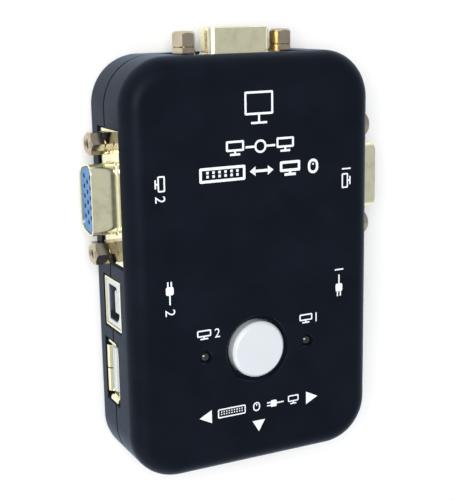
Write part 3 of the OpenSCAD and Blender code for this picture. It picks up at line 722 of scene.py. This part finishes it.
def d_outline(v, more):
    """The D outline grown by more: a trapezium with its long side up and round corners."""
    lean = math.radians(10)
    r = v.shell_round + more
    core = v.shell_height / 2 - v.shell_round
    centre = v.shell_width / 2 - v.shell_round
    wide = centre + r / math.cos(lean) + r * math.tan(lean)
    narrow = centre + r / math.cos(lean) - (2 * core + r) * math.tan(lean)
    height = v.shell_height / 2 + more
    bm = outline(2 * wide, 2 * height)
    low = [vert for vert in bm.verts if vert.co.y < 0]
    for vert in low:
        vert.co.x = math.copysign(narrow, vert.co.x)
    high = [vert for vert in bm.verts if vert.co.y > 0]
    bevel(bm, high, r / math.tan((math.pi / 2 - lean) / 2), 10, "VERTICES")
    low = [vert for vert in bm.verts if vert.co.y < NEAR - height]
    bevel(bm, low, r / math.tan((math.pi / 2 + lean) / 2), 10, "VERTICES")
    return bm


def video_shell(v, width, height, reach):
    """The nickel sheet: a flange, and a D tube that curves out of it, open right through."""
    back, front = -v.flange_inset - v.flange_thickness, -v.flange_inset
    flange = drawn(outline(width, height, v.flange_corner, segments=5), back,
                   (v.flange_thickness - SOFT_RISE, 0), *SOFT_EDGE)
    b = v.base_curve
    tip = front + reach
    # The tube starts inside the flange, sweeps in over the base curve and ends in a round rim
    sunk = 0.1
    rise = front - sunk
    steps = [(sunk + b * 0.10, b * 0.42), (b * 0.24, b * 0.34), (b * 0.38, b * 0.18),
             (b * 0.40, b * 0.06)]
    rim, rim_rise = ((0.12, 0.04), (0.07, 0.08), (0.03, 0.07)), 0.22
    run = tip - rise - sum(up for up, _ in steps) - rim_rise
    tube = drawn(d_outline(v, b), rise, *steps, (run, 0), *rim)
    shell = with_added(flange, tube)
    # The bore starts wider than the inside and narrows at the rim
    mouth, mouth_run = 0.12, 0.14
    inner = d_outline(v, mouth - v.shell_wall)
    bmesh.ops.reverse_faces(inner, faces=inner.faces)
    bore = drawn(inner, tip + OVER, (OVER, 0), (mouth_run, mouth), (tip - back + OVER, 0))
    stud_gap = 0.15
    holes = [moved(drawn(disc(v.jack_thread + stud_gap, segments=28), back - OVER,
                         (v.flange_thickness + 2 * OVER, 0)), s * v.jack_pitch / 2)
             for s in (-1, 1)]
    return cut_by(shell, bore, *holes)


def contact_spots(v):
    """The places of fifteen contacts in three rows, the middle row shifted by half a step."""
    for row in (-1, 0, 1):
        shift = v.contact_pitch / 4 * (1 if row == 0 else -1)
        for i in range(-2, 3):
            yield i * v.contact_pitch + shift, row * v.contact_row


def video_insert(v, reach, rear_low):
    """The moulded insert: a D nose inside the shell, bored for contacts, and a block behind."""
    back, tip = -v.flange_inset - v.flange_thickness, -v.flange_inset + reach - v.insert_step
    shell_gap = 0.05
    nose = drawn(d_outline(v, -v.shell_wall - shell_gap), back - OVERLAP,
                 (tip - back + OVERLAP - SOFT_RISE, 0), (0.08, 0.05), (0.04, 0.08))
    # The block fits between the two jackscrews' studs
    stud_room, height, deep = 6.6, 11.0, 8
    rear = drawn(outline(v.jack_pitch - stud_room, height, 0.4, segments=3), back - deep,
                 (deep, 0))
    body = with_added(nose, moved(rear, 0, rear_low + height / 2))
    hole_ease, hole_deep = 0.06, 6
    holes = [moved(eased_hole(v.contact_hole, tip, hole_ease, hole_deep, 24), x, y)
             for x, y in contact_spots(v)]
    return cut_by(body, *holes)


def jackscrew(v, turn, reach):
    """A hexagon nut and standoff with a threaded hole, and the stud behind them."""
    base, tip = -v.flange_inset, -v.flange_inset + reach
    corner = v.jack_flats / 2 / math.cos(math.pi / 6)
    blunt = 0.03
    hexagon = drawn(disc(corner - blunt, segments=6, turn=turn), base, (reach, 0))
    # A turned form takes off the hexagon's corners at both ends and at the joint of its parts
    joint = base + v.jack_nut
    clear, neck, groove = corner + 0.1, corner - 0.45, 0.28
    form = lathe([(0, base), (neck, base), (clear, base + 0.3), (clear, joint - groove),
                  (neck - 0.12, joint), (clear, joint + groove), (clear, tip - 0.72),
                  (corner - 0.82, tip), (0, tip)], 48)
    screw = combined(hexagon, form, "INTERSECT")
    stud_end = 5.3
    stud = drawn(disc(v.jack_thread, segments=28), base - stud_end, (0.2, 0), (5.2, 0))
    screw = with_added(screw, stud)
    turns, mouth, drill_point = 5, 0.4, 0.3
    floor, z = tip - v.jack_hole_depth, tip - mouth
    profile = [(0, tip + OVER), (v.jack_thread + 0.12 + OVER, tip + OVER)]
    for _ in range(turns):
        profile += [(v.jack_hole, z), (v.jack_thread - 0.08, z - v.thread_pitch / 2)]
        z -= v.thread_pitch
    profile += [(v.jack_hole, z), (v.jack_hole, floor), (0, floor - drill_point)]
    return cut_by(screw, lathe(profile, 28))


def contact_sleeves(v, place, node, insert_front):
    """Fifteen round contacts with bored ends, each with its tail down through the board."""
    inverse = place.inverted()
    low, high = box_mm(f"video_contacts_{node}")
    rear = min((inverse @ corner).z for corner in (low, high))
    foot = min((inverse @ corner).y for corner in (low, high))
    tip, half = insert_front - v.contact_step, v.tail_width / 2
    rim, lip, bore = v.contact_radius, 0.05, v.contact_radius - 0.18
    whole = bmesh.new()
    for x, y in contact_spots(v):
        # The highest row's tails come down furthest back
        back = rear + half + (v.contact_row - y)
        sleeve = lathe([(0, back), (rim, back), (rim, tip - lip), (rim - lip, tip),
                        (rim - 0.14, tip), (bore, tip - lip), (bore, tip - 4), (0, tip - 4.2)], 16)
        tail = block((x - half, foot, back - half), (x + half, y, back + half))
        joined(whole, moved(sleeve, x, y), tail)
    return whole


class SWITCH_OT_video(bpy.types.Operator):
    """Builds the three video sockets: shells, blue inserts and jackscrews"""
    bl_idname = "switch.video"
    bl_label = "Video sockets"

    def execute(self, context):
        v = in_mm(context.scene.switch_video)
        for node, side in VIDEO.items():
            name = f"video_shell_{node}"
            place = socket_place(side, name)
            inverse = place.inverted()
            low, high = box_mm(name)
            reach = max((inverse @ corner).z for corner in (low, high)) + v.flange_inset
            insert_low = box_mm(f"video_insulator_{node}")[0].z - (low.z + high.z) / 2
            insert_front = reach - v.flange_inset - v.insert_step
            make_piece(f"socket_shell_{node}", video_shell(v, *span(name, side)[:2], reach),
                       finish("nickel"), "case", (name,), place)
            make_piece(f"socket_insert_{node}", video_insert(v, reach, insert_low),
                       finish("insert blue"), "case",
                       (f"video_insulator_{node}",), place)
            # The contacts take a near-black finish, painted shade for the dark holes of the insert
            make_piece(f"contact_sleeves_{node}", contact_sleeves(v, place, node, insert_front),
                       finish("shaded gold"), "case", (f"video_contacts_{node}",), place)
            jacks = box_mm(f"video_jackscrews_{node}")
            jack_reach = max((inverse @ corner).z for corner in jacks) + v.flange_inset
            # Flats face up and down on the console socket, corners on the side ones
            turn = math.pi / 6 if node == "console" else 0
            pair = [moved(jackscrew(v, turn, jack_reach), s * v.jack_pitch / 2) for s in (-1, 1)]
            make_piece(f"jackscrews_{node}", joined(*pair), finish("screw nickel"), "case",
                       (f"video_jackscrews_{node}",), place)
        return {"FINISHED"}


# ---- Square and flat sockets ----

def square_mouth(u, width, height, gap=0.0):
    """The outline of the mouth, its two upper corners cut across, made smaller by a gap."""
    # The rim is measured from the inside of the shell, and the housing stands clear of it
    housing_fit = 0.1
    rim = u.square_rim - housing_fit
    mouth = outline(width - 2 * rim - gap, height - 2 * rim - gap)
    bevel(mouth, [vert for vert in mouth.verts if vert.co.y > 0], u.square_corner, 1, "VERTICES")
    return mouth


def square_housing(u, width, height, front, back):
    """The white housing with its mouth, and the tongue that stands in the mouth."""
    edge, tongue_back, tongue_slope = 0.1, 0.8, 0.3
    body = drawn(outline(width, height, 0.25, segments=2), back, (front - back - edge, 0),
                 (edge, edge))
    mouth = square_mouth(u, width, height)
    bmesh.ops.reverse_faces(mouth, faces=mouth.faces)
    body = cut_by(body, drawn(mouth, front + OVER, (OVER + u.square_floor, 0)))
    tongue = drawn(outline(u.square_tongue, u.square_tongue_height, 0.2, segments=2),
                   front - u.square_floor - OVERLAP,
                   (u.square_floor + OVERLAP - tongue_back - tongue_slope, 0),
                   (tongue_slope, tongue_slope))
    return with_added(body, tongue)


def square_shade_liner(u, width, height, front):
    """A thin sheet that lines the mouth, open at the front; its dark finish is painted shade inside
    the mouth.
    """
    sheet, lift, front_back = 0.22, 0.05, 0.15
    return drawn(square_mouth(u, width, height, gap=0.02), front - u.square_floor + lift,
                 (u.square_floor - (lift + front_back), 0), (0, sheet),
                 (front_back - u.square_floor, 0))


class SWITCH_OT_square(bpy.types.Operator):
    """Builds the two square sockets: shells, white housings and dark liners that paint the shade in
    their mouths
    """
    bl_idname = "switch.square"
    bl_label = "Square sockets"

    def execute(self, context):
        u = in_mm(context.scene.switch_usb)
        for node, side in SQUARE.items():
            name = f"square_shell_{node}"
            place = socket_place(side, name)
            width, height, front, back = span(name, side)
            sheet = u.square_wall
            inner_edge = 0.1
            shell = drawn(outline(width, height, 0.45), back, (front - back - SOFT_RISE, 0),
                          *SOFT_EDGE, (0, sheet - 0.24), (-inner_edge, inner_edge),
                          (back - front + sheet + inner_edge, 0))
            make_piece(f"square_shell_{node}_plate", shell, finish("nickel"), "case",
                       (name,), place)
            body = f"square_insulator_{node}"
            width, height, front, back = span(body, side)
            make_piece(f"square_housing_{node}", square_housing(u, width, height, front, back),
                       finish("housing white"), "case", (body,), place)
            # A dark liner paints the shade inside the mouth
            make_piece(f"square_shade_liner_{node}", square_shade_liner(u, width, height, front),
                       finish("shade tin"), "case", (), place)
        return {"FINISHED"}


def flared_lip(long, wall, reach, run):
    """A strip bent outwards through a right angle at the front of the mouth, with soft corners."""
    bm = bmesh.new()
    bmesh.ops.create_grid(bm, x_segments=1, y_segments=1, size=0.5)
    bmesh.ops.scale(bm, vec=(long, wall, 1), verts=bm.verts)
    bmesh.ops.translate(bm, vec=(0, wall / 2, 0), verts=bm.verts)
    bmesh.ops.spin(bm, geom=bm.faces[:], cent=(0, run, 0), axis=(-1, 0, 0),
                   angle=math.radians(90), steps=10, use_merge=False)
    ends = [f for f in bm.faces if all(abs(vert.co.y - run) < NEAR for vert in f.verts)]
    for face in ends:
        made = bmesh.ops.extrude_face_region(bm, geom=[face])
        tips = [g for g in made["geom"] if isinstance(g, bmesh.types.BMVert)]
        bmesh.ops.translate(bm, vec=(0, reach - run, 0), verts=tips)
        bmesh.ops.delete(bm, geom=[face], context="FACES_ONLY")
    closed(bm)
    corners = [e for e in bm.edges if all(abs(vert.co.y - reach) < NEAR for vert in e.verts)
               and abs(e.verts[0].co.x - e.verts[1].co.x) < NEAR]
    corner_round = 0.22
    bevel(bm, corners, corner_round, 4)
    return closed(bm)


def flat_shell(u, front, back):
    """The folded tube of a flat socket with its four flared lips; a slit parts the lower one."""
    lip_root = front - u.lip_run
    w, h, sheet = u.mouth_width, u.mouth_height, u.flat_wall
    tube = drawn(outline(w + 2 * sheet, h + 2 * sheet, 0.6), back, (lip_root - back, 0),
                 (0, sheet), (back - lip_root + sheet, 0))
    # Each lip starts just inside the tube and stops short of the mouth's corners
    long_less, short_less, sunk = 0.9, 0.4, 0.01
    slit_half, slit_low = 0.14, 0.15
    for side in (-1, 1):
        long = moved(flared_lip(w - long_less, sheet, u.lip_out, u.lip_run), 0, h / 2,
                     lip_root - sunk)
        if side < 0:
            long = cut_by(long, block((-slit_half, h / 2 - OVER, lip_root + slit_low),
                                      (slit_half, h / 2 + u.lip_out + OVER, front + OVER)))
        turn = Matrix.Rotation(0 if side > 0 else math.pi, 4, "Z")
        tube = with_added(tube, moved(long, matrix=turn))
        short = moved(flared_lip(h - short_less, sheet, u.lip_out, u.lip_run), 0, w / 2,
                      lip_root - sunk)
        turn = Matrix.Rotation(math.pi / 2 * side, 4, "Z")
        tube = with_added(tube, moved(short, matrix=turn))
    return tube


def flat_tongue(u, front, tip, rear):
    """The white block at the back of a flat socket, and its tongue in the lower half."""
    mouth_deep, block_less, tongue_lift, tongue_slope = 9.2, 0.2, 0.38, 0.35
    root = front - u.lip_run - mouth_deep
    body = drawn(outline(u.mouth_width - block_less, u.mouth_height - block_less), rear,
                 (root - rear, 0))
    tongue = drawn(outline(u.flat_tongue, u.flat_tongue_height, 0.15, segments=2),
                   root - OVERLAP, (tip - root + OVERLAP - tongue_slope, 0), (tongue_slope, 0.3))
    low = -u.mouth_height / 2
    return with_added(body, moved(tongue, 0, low + tongue_lift + u.flat_tongue_height / 2))


class SWITCH_OT_flat(bpy.types.Operator):
    """Builds the three flat sockets: folded shells with flared lips, and white tongues"""
    bl_idname = "switch.flat"
    bl_label = "Flat sockets"

    def execute(self, context):
        u = in_mm(context.scene.switch_usb)
        for node, side in FLAT.items():
            name = f"flat_shell_{node}"
            place = socket_place(side, name)
            front, back = span(name, side)[2:]
            make_piece(f"flat_shell_{node}_plate", flat_shell(u, front, back), finish("nickel"),
                       "case", (name,), place)
            body = f"flat_insulator_{node}"
            tip, rear = span(body, side)[2:]
            make_piece(f"flat_tongue_{node}", flat_tongue(u, front, tip, rear),
                       finish("housing white"), "case", (body,), place)
        return {"FINISHED"}


# ---- Button, spring, lamps and screws ----

def press_range():
    """The two ends of the button's travel, in metres."""
    for joint in frame["record"]["behaviour"]["joints"]:
        if joint["name"] == "select_press":
            return joint["range_m"]
    raise RuntimeError("the button has no joint")


class SWITCH_OT_button(bpy.types.Operator):
    """Builds the round select button, with its chamfer, skirt, collar and hub"""
    bl_idname = "switch.button"
    bl_label = "Select button"

    def execute(self, context):
        b = in_mm(context.scene.switch_button)
        low, high = box_mm("button_cap")
        middle = middle_of("button_cap")
        collar = (high.x - low.x) / 2
        radius = collar - b.collar
        top, roof = high.z, high.z - b.roof
        skirt = radius - b.wall
        collar_top = low.z + b.collar_height
        # The hub comes down over the switch's stem, which is square and stands in its socket
        hub_over, stem_half, socket_deep, soft = 4.1, 1.75, 4.2, 0.12
        hub_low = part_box("switch_plunger")[1].z / MM - hub_over
        profile = [(0, hub_low), (b.hub, hub_low), (b.hub, roof), (skirt, roof), (skirt, low.z),
                   (collar, low.z), (collar, collar_top), (radius, collar_top),
                   (radius, top - b.chamfer - soft), (radius - soft * 0.35, top - b.chamfer),
                   (radius - b.chamfer + soft * 0.35, top - soft * 0.5),
                   (radius - b.chamfer - soft, top), (radius * 0.5, top), (0, top)]
        socket = block((-stem_half, -stem_half, hub_low - OVER),
                       (stem_half, stem_half, hub_low + socket_deep))
        cap = cut_by(lathe(profile, 96), socket)
        make_piece("select_button_cap", cap, finish("button silver"), "select_button",
                   ("button_cap",), Matrix.Translation((middle.x, middle.y, 0)))
        return {"FINISHED"}


class SWITCH_OT_spring(bpy.types.Operator):
    """Winds the return spring"""
    bl_idname = "switch.spring"
    bl_label = "Return spring"

    def execute(self, context):
        b = in_mm(context.scene.switch_button)
        low, high = box_mm("switch_spring")
        middle, wire = middle_of("switch_spring"), b.spring_wire / 2
        turns, steps = 3, 28
        coil = bmesh.new()
        bmesh.ops.create_circle(coil, cap_ends=True, segments=12, radius=wire)
        bmesh.ops.rotate(coil, matrix=Matrix.Rotation(math.pi / 2, 3, "X"), verts=coil.verts)
        bmesh.ops.translate(coil, vec=((high.x - low.x) / 2 - wire, 0, low.z + wire),
                            verts=coil.verts)
        rise = high.z - low.z - 2 * wire
        start = coil.faces[:]
        bmesh.ops.spin(coil, geom=start, axis=(0, 0, 1), cent=(0, 0, 0),
                       dvec=(0, 0, rise / (turns * steps)), angle=turns * math.tau,
                       steps=turns * steps, use_merge=False)
        bmesh.ops.recalc_face_normals(coil, faces=coil.faces)
        piece = make_piece("return_spring", coil, finish("steel"), "case",
                           ("switch_spring",), Matrix.Translation((middle.x, middle.y, 0)))
        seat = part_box("switch_housing")[0].z + b.spring_seat * MM
        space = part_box("switch_plunger")[0].z - seat
        travel = max(abs(end) for end in press_range())
        1 - travel / space
        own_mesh(piece)
        return {"FINISHED"}


class SWITCH_OT_lamps(bpy.types.Operator):
    """Builds the two unlit lamps"""
    bl_idname = "switch.lamps"
    bl_label = "Lamps"

    def execute(self, context):
        for node in ("lamp_1", "lamp_2"):
            low, high = box_mm(node)
            middle, rim = middle_of(node), (high.x - low.x) / 2
            rim_width, rim_height, edge, steps = 0.4, 1, 0.1, 12
            radius = rim - rim_width
            dome = [(radius * math.cos(a), high.z - radius + radius * math.sin(a))
                    for a in (math.pi / 2 * i / steps for i in range(steps))]
            profile = [(0, low.z), (rim - edge, low.z), (rim, low.z + edge),
                       (rim, low.z + (rim_height - edge)), (rim - edge, low.z + rim_height),
                       (radius, low.z + rim_height), *dome, (0, high.z)]
            make_piece(f"{node}_lens", lathe(profile, 48), finish("lamp smoke"), "case",
                       (node,), Matrix.Translation((middle.x, middle.y, 0)),
                       flats=False)
        return {"FINISHED"}


class SWITCH_OT_screws(bpy.types.Operator):
    """Builds the four case screws with their cross recesses"""
    bl_idname = "switch.screws"
    bl_label = "Case screws"

    def execute(self, context):
        s = in_mm(context.scene.switch_case)
        low, high = box_mm("case_screws")
        head, shank, seat = s.head_bore - 0.2, s.screw_radius - 0.1, s.head_height
        profile = [(0, low.z), (head - 0.7, low.z), (head - 0.25, low.z + 0.25),
                   (head, low.z + 0.8), (head, seat), (shank, seat), (shank, high.z - 0.4),
                   (shank - 0.4, high.z), (0, high.z)]
        arm, arm_half, recess = 1.3, 0.35, 1
        screws = []
        for x, y in post_places(s):
            screw = lathe(profile, 40)
            for long, wide in ((arm, arm_half), (arm_half, arm)):
                screw = cut_by(screw, block((-long, -wide, low.z - OVER),
                                            (long, wide, low.z + recess)))
            screws.append(moved(screw, x, y))
        make_piece("case_back_screws", joined(*screws), finish("screw nickel"), "case",
                   ("case_screws",))
        return {"FINISHED"}


# ---- Printed marks ----

class Marks:
    """Flat printed shapes, collected as thin solids on a plane."""

    def __init__(self, film):
        self.bm, self.film = bmesh.new(), film

    def put(self, face, x, y):
        solid = drawn(face, 0, (self.film, 0))
        joined(self.bm, moved(solid, x, y))
        return self

    def bar(self, x0, y0, x1, y1, corner=0.0):
        return self.put(outline(x1 - x0, y1 - y0, corner, 3), (x0 + x1) / 2, (y0 + y1) / 2)

    def ring(self, x0, y0, x1, y1, line, corner=0.5):
        """A rounded frame: an outline with its middle taken out."""
        x, y = (x0 + x1) / 2, (y0 + y1) / 2
        corner = min(corner, (x1 - x0) / 2.01, (y1 - y0) / 2.01)
        face = drawn(outline(x1 - x0, y1 - y0, corner, 6), 0, (self.film, 0))
        inner = outline(x1 - x0 - 2 * line, y1 - y0 - 2 * line, max(corner - line, 0.08), 6)
        tool = drawn(inner, -OVER, (2 * OVER, 0))
        joined(self.bm, moved(cut_by(face, tool), x, y))
        return self

    def arrow(self, x, y, width, height, turn):
        """A filled triangle centred on x, y that points up before it is turned."""
        face = disc(1, 3)
        low = min(v.co.y for v in face.verts)
        span_x = max(v.co.x for v in face.verts) - min(v.co.x for v in face.verts)
        span_y = max(v.co.y for v in face.verts) - low
        bmesh.ops.translate(face, vec=(0, -low - span_y / 2, 0), verts=face.verts)
        bmesh.ops.scale(face, vec=(width / span_x, height / span_y, 1), verts=face.verts)
        bmesh.ops.rotate(face, matrix=Matrix.Rotation(turn, 3, "Z"), verts=face.verts)
        return self.put(face, x, y)

    def numeral(self, text, x, y, height):
        """A numeral whose lower left corner is at x, y."""
        curve = bpy.data.curves.new("numeral", "FONT")
        curve.body, curve.extrude, curve.resolution_u = text, 0, 6
        holder = bpy.data.objects.new("numeral", curve)
        bpy.context.scene.collection.objects.link(holder)
        graph = bpy.context.evaluated_depsgraph_get()
        mesh = bpy.data.meshes.new_from_object(holder.evaluated_get(graph))
        bpy.data.objects.remove(holder)
        bpy.data.curves.remove(curve)
        face = bmesh.new()
        face.from_mesh(mesh)
        bpy.data.meshes.remove(mesh)
        bmesh.ops.remove_doubles(face, verts=face.verts, dist=1e-5)
        low = [min(v.co[i] for v in face.verts) for i in (0, 1)]
        tall = max(v.co.y for v in face.verts) - low[1]
        bmesh.ops.translate(face, vec=(-low[0], -low[1], 0), verts=face.verts)
        bmesh.ops.scale(face, vec=(height / tall, height / tall, 1), verts=face.verts)
        made = bmesh.ops.extrude_face_region(face, geom=face.faces[:])
        tops = [g for g in made["geom"] if isinstance(g, bmesh.types.BMVert)]
        bmesh.ops.translate(face, vec=(0, 0, self.film), verts=tops)
        bmesh.ops.recalc_face_normals(face, faces=face.faces)
        joined(self.bm, moved(face, x, y))
        return self

    # Pictograms, each drawn from its lower left corner to a given height

    def screen(self, x, y, width, height, line, stand=True):
        foot = height * 0.28 if stand else 0
        self.ring(x, y + foot, x + width, y + height, line, 0.35)
        if stand:
            middle = x + width / 2
            self.bar(middle - line / 2, y + line, middle + line / 2, y + foot)
            self.bar(middle - width * 0.28, y, middle + width * 0.28, y + line)
        return self

    def keyboard(self, x, y, width, height, line):
        self.ring(x, y, x + width, y + height, line, 0.4)
        inside = width - 4 * line
        count = max(int(inside / (2.1 * line)), 2)
        key = line * 0.95
        for row in (0.66, 0.40):
            for i in range(count):
                at = x + 2 * line + inside * (i + 0.5) / count
                self.bar(at - key / 2, y + height * row - key / 2,
                         at + key / 2, y + height * row + key / 2)
        return self

    def mouse(self, x, y, width, height, line):
        self.ring(x, y, x + width, y + height, line, width / 2.02)
        middle = x + width / 2
        return self.bar(middle - line / 2, y + height * 0.58, middle + line / 2,
                        y + height - 1.6 * line, line * 0.4)

    def plug(self, x, y, length_x, height, line):
        """A cable plug: two prongs, a body and a length of cord."""
        prong, body = length_x * 0.22, length_x * 0.36
        for at in (0.28, 0.72):
            self.bar(x, y + height * at - line / 2, x + prong - 0.02, y + height * at + line / 2)
        self.bar(x + prong, y, x + prong + body, y + height, 0.35)
        return self.bar(x + prong + body + 0.02, y + height / 2 - line / 2,
                        x + length_x, y + height / 2 + line / 2)


class SWITCH_OT_marks(bpy.types.Operator):
    """Prints plain pictograms, arrows and numerals on the front face"""
    bl_idname = "switch.marks"
    bl_label = "Printed marks"

    def execute(self, context):
        m = in_mm(context.scene.switch_marks)
        top = case_box()[1].z
        face = Matrix.Translation((0, 0, top))

        title = Marks(m.film)
        # Heights of the rows, each at the foot of its marks unless it is called a middle
        switch_foot, switch_middle, wide_foot, wide_middle = 26.55, 28.25, 20.85, 22.6
        wide_height = 3.48
        title.screen(-2.8, 33.4, 7.35, 7.4, m.line)
        # Two computers joined through a change-over switch
        for x in (-7.65, 5.35):
            title.screen(x, switch_foot, 4.6, 3.4, m.line)
        for start, end in ((-2.7, -0.45), (2.75, 5.0)):
            title.bar(start, switch_middle - m.line / 2, end, switch_middle + m.line / 2)
        title.ring(-0.4, 26.7, 2.7, 29.8, m.line, 1.5)
        title.keyboard(-14.4, wide_foot, 11.6, wide_height, m.bold)
        title.arrow(-0.95, wide_middle, 2.2, 1.5, math.pi / 2)
        title.arrow(3.75, wide_middle, 2.2, 1.5, -math.pi / 2)
        title.bar(-0.15, wide_middle - m.bold / 2, 2.95, wide_middle + m.bold / 2)
        title.screen(6.2, wide_foot, 5.4, wide_height, m.bold)
        title.mouse(13.7, wide_foot, 2.8, wide_height, m.bold)

        small, fine = 2.3, 0.32
        lamps = Marks(m.film)
        for x, numeral in ((-12.7, "2"), (14.5, "1")):
            lamps.screen(x - 3.2, -15.65, 3.6, small, 0.34).numeral(numeral, x + 1.3, -15.6, 2.2)

        console = Marks(m.film)
        console_foot = -35.75
        for x, turn in ((-14.2, math.pi / 2), (14.7, -math.pi / 2)):
            console.arrow(x, -34.9, 3.25, 3.2, turn)
        console.arrow(-0.1, -39.6, 3.4, 2.85, math.pi)
        console.keyboard(-11, console_foot, 7.4, small, fine)
        console.mouse(-1.6, console_foot, 1.9, small, fine)
        console.plug(2.2, -35.45, 4.6, 1.7, fine).screen(8.0, console_foot, 3.0, small, fine)

        # Side labels run along the case; their tops face the middle of the face
        sides = Marks(m.film)
        left = ((-24.0, 20.4, "2", "screen"), (-22.4, -5.0, "2", "plug"))
        right = ((24.3, 19.55, "1", "screen"), (22.45, -5.9, "1", "plug"))
        for group, turn in ((left, -math.pi / 2), (right, math.pi / 2)):
            for x, y, numeral, kind in group:
                label = Marks(m.film)
                if kind == "screen":
                    label.screen(-3.0, -1.25, 3.6, 2.5, 0.36).numeral(numeral, 1.5, -1.2, 2.4)
                else:
                    label.plug(-4.2, -0.95, 5.4, 1.9, 0.36).numeral(numeral, 2.3, -1.2, 2.4)
                place = Matrix.Translation((x, y, 0)) @ Matrix.Rotation(turn, 4, "Z")
                joined(sides.bm, moved(label.bm, matrix=place))

        for name, marks in (("print_title", title), ("print_lamps", lamps),
                            ("print_console", console), ("print_sides", sides)):
            make_piece(name, marks.bm, finish("ink"), "case", (), face, flats=False)
        return {"FINISHED"}


# ---- Inner parts that keep their frame shapes ----

INNER = {
    "circuit_board": "board", "board_screws": "screw nickel",
    "video_brackets": "tin", "square_contacts": "gold", "flat_contacts": "gold",
    "switch_plunger": "black plastic",
    "switch_housing": "housing white", "switch_pins": "tin", "lamp_leads": "tin",
    "control_chip": "chip", "video_chips": "chip", "chip_legs": "tin", "crystal": "tin",
    "capacitors": "sleeve", "resistors": "chip",
}


class SWITCH_OT_inner(bpy.types.Operator):
    """Gives the board, contacts, switch and chips their finishes"""
    bl_idname = "switch.inner"
    bl_label = "Inner parts"

    def execute(self, context):
        for name, node in frame["nodes"].items():
            if node.hide_render:
                continue
            kinds = [kind for start, kind in INNER.items() if name.startswith(start)]
            if not kinds:
                raise RuntimeError(f"{name} has no finish")
            if not node.material_slots:
                node.data.materials.append(None)
            for held in node.material_slots:
                held.material = finish(kinds[0])
        return {"FINISHED"}


# ---- Stage ----

def facing(eye, target, roll=0.0):
    """A placement at eye that looks at target along -Z, with Y as the picture's up."""
    forward = (target - eye).normalized()
    across = forward.cross(Vector((0, 1, 0))).normalized()
    upwards = across.cross(forward)
    right = math.cos(roll) * across + math.sin(roll) * upwards
    up = math.cos(roll) * upwards - math.sin(roll) * across
    turned = Matrix((right, up, -forward)).transposed().to_4x4()
    return Matrix.Translation(eye) @ turned


def area_light(name, eye, target, size, power, tone):
    lamp = bpy.data.lights.new(name, "AREA")
    lamp.shape, lamp.size, lamp.energy, lamp.color = "DISK", size, power, tone
    holder = bpy.data.objects.new(name, lamp)
    holder.matrix_world = facing(Vector(eye), Vector(target))
    bpy.context.scene.collection.objects.link(holder)


class SWITCH_OT_stage(bpy.types.Operator):
    """Sets the pale floor, the soft light and the camera"""
    bl_idname = "switch.stage"
    bl_label = "Stage"

    def execute(self, context):
        scene, settings = context.scene, context.scene.switch_stage
        floor_mesh = outline(6000, 6000)
        bmesh.ops.scale(floor_mesh, vec=(MM, MM, MM), verts=floor_mesh.verts)
        mesh = bpy.data.meshes.new("floor")
        floor_mesh.to_mesh(mesh)
        floor_mesh.free()
        floor = bpy.data.objects.new("floor", mesh)
        scene.collection.objects.link(floor)
        paper = Finish("floor paper", Roughness=0.9, Specular_IOR_Level=0.1)
        tooth = paper.noise(1.5, detail=2)
        tone = tuple(settings.floor)
        mesh.materials.append(paper.into(
            Base_Color=paper.mixed(tooth * 0.1, tone, tuple(c * 0.97 for c in tone))))

        camera = bpy.data.cameras.new("camera")
        camera.sensor_width, camera.lens = 36, 76.81
        camera.clip_start, camera.clip_end = 0.01, 20
        holder = bpy.data.objects.new("camera", camera)
        eye, target, roll = (-0.11267, 0.05919, 0.23857), (-0.001737, 0.001777, 0.011), -0.018
        holder.matrix_world = facing(Vector(eye), Vector(target), roll)
        scene.collection.objects.link(holder)
        scene.camera = holder

        case_middle = (0, 0, 0.01)
        area_light("key", (-0.33, 0.18, 0.65), case_middle, 0.42, settings.key, (1, 0.99, 0.97))
        area_light("fill", (-0.45, -0.55, 0.40), case_middle, 0.5, settings.fill,
                   (0.95, 0.97, 1))

        # The surroundings are pale low down and dimmer above
        world = bpy.data.worlds.new("surroundings")
        world.use_nodes = True
        nodes = Nodes(world.node_tree)
        direction = nodes.node("ShaderNodeTexCoord", {}, {}, "Generated")
        height = nodes.node("ShaderNodeSeparateXYZ", {}, {0: direction}, "Z")
        fade = nodes.ranged(height, 0.08, 0.42, settings.horizon, settings.zenith)
        background = world.node_tree.nodes["Background"]
        world.node_tree.links.new(fade.socket, background.inputs["Strength"])
        background.inputs["Color"].default_value = (0.94, 0.96, 1, 1)
        scene.world = world
        scene.view_settings.view_transform = "Standard"
        return {"FINISHED"}


# ---- Add-on ----

OPERATORS = (SWITCH_OT_stage, SWITCH_OT_case, SWITCH_OT_video, SWITCH_OT_square, SWITCH_OT_flat,
             SWITCH_OT_button, SWITCH_OT_spring, SWITCH_OT_lamps, SWITCH_OT_screws, SWITCH_OT_marks,
             SWITCH_OT_inner)


class SWITCH_PT_sidebar(bpy.types.Panel):
    """Lists the sizes, colours and building steps of the switch"""
    bl_label = "Desktop switch"
    bl_idname = "SWITCH_PT_sidebar"
    bl_space_type = "VIEW_3D"
    bl_region_type = "UI"
    bl_category = "Switch"

    def draw(self, context):
        for operator in OPERATORS:
            self.layout.operator(operator.bl_idname)
        for attribute in GROUPS:
            group = getattr(context.scene, attribute)
            column = self.layout.column(heading=attribute.replace("_", " "))
            for name in type(group).__annotations__:
                column.prop(group, name)


CLASSES = (*GROUPS.values(), *OPERATORS, SWITCH_PT_sidebar)


def register():
    for cls in CLASSES:
        bpy.utils.register_class(cls)
    for attribute, group in GROUPS.items():
        setattr(bpy.types.Scene, attribute, PointerProperty(type=group))


def unregister():
    for attribute in GROUPS:
        delattr(bpy.types.Scene, attribute)
    for cls in reversed(CLASSES):
        bpy.utils.unregister_class(cls)


def main():
    register()
    for operator in OPERATORS:
        getattr(bpy.ops.switch, operator.bl_idname.split(".")[1])()


if __name__ == "__main__":
    main()
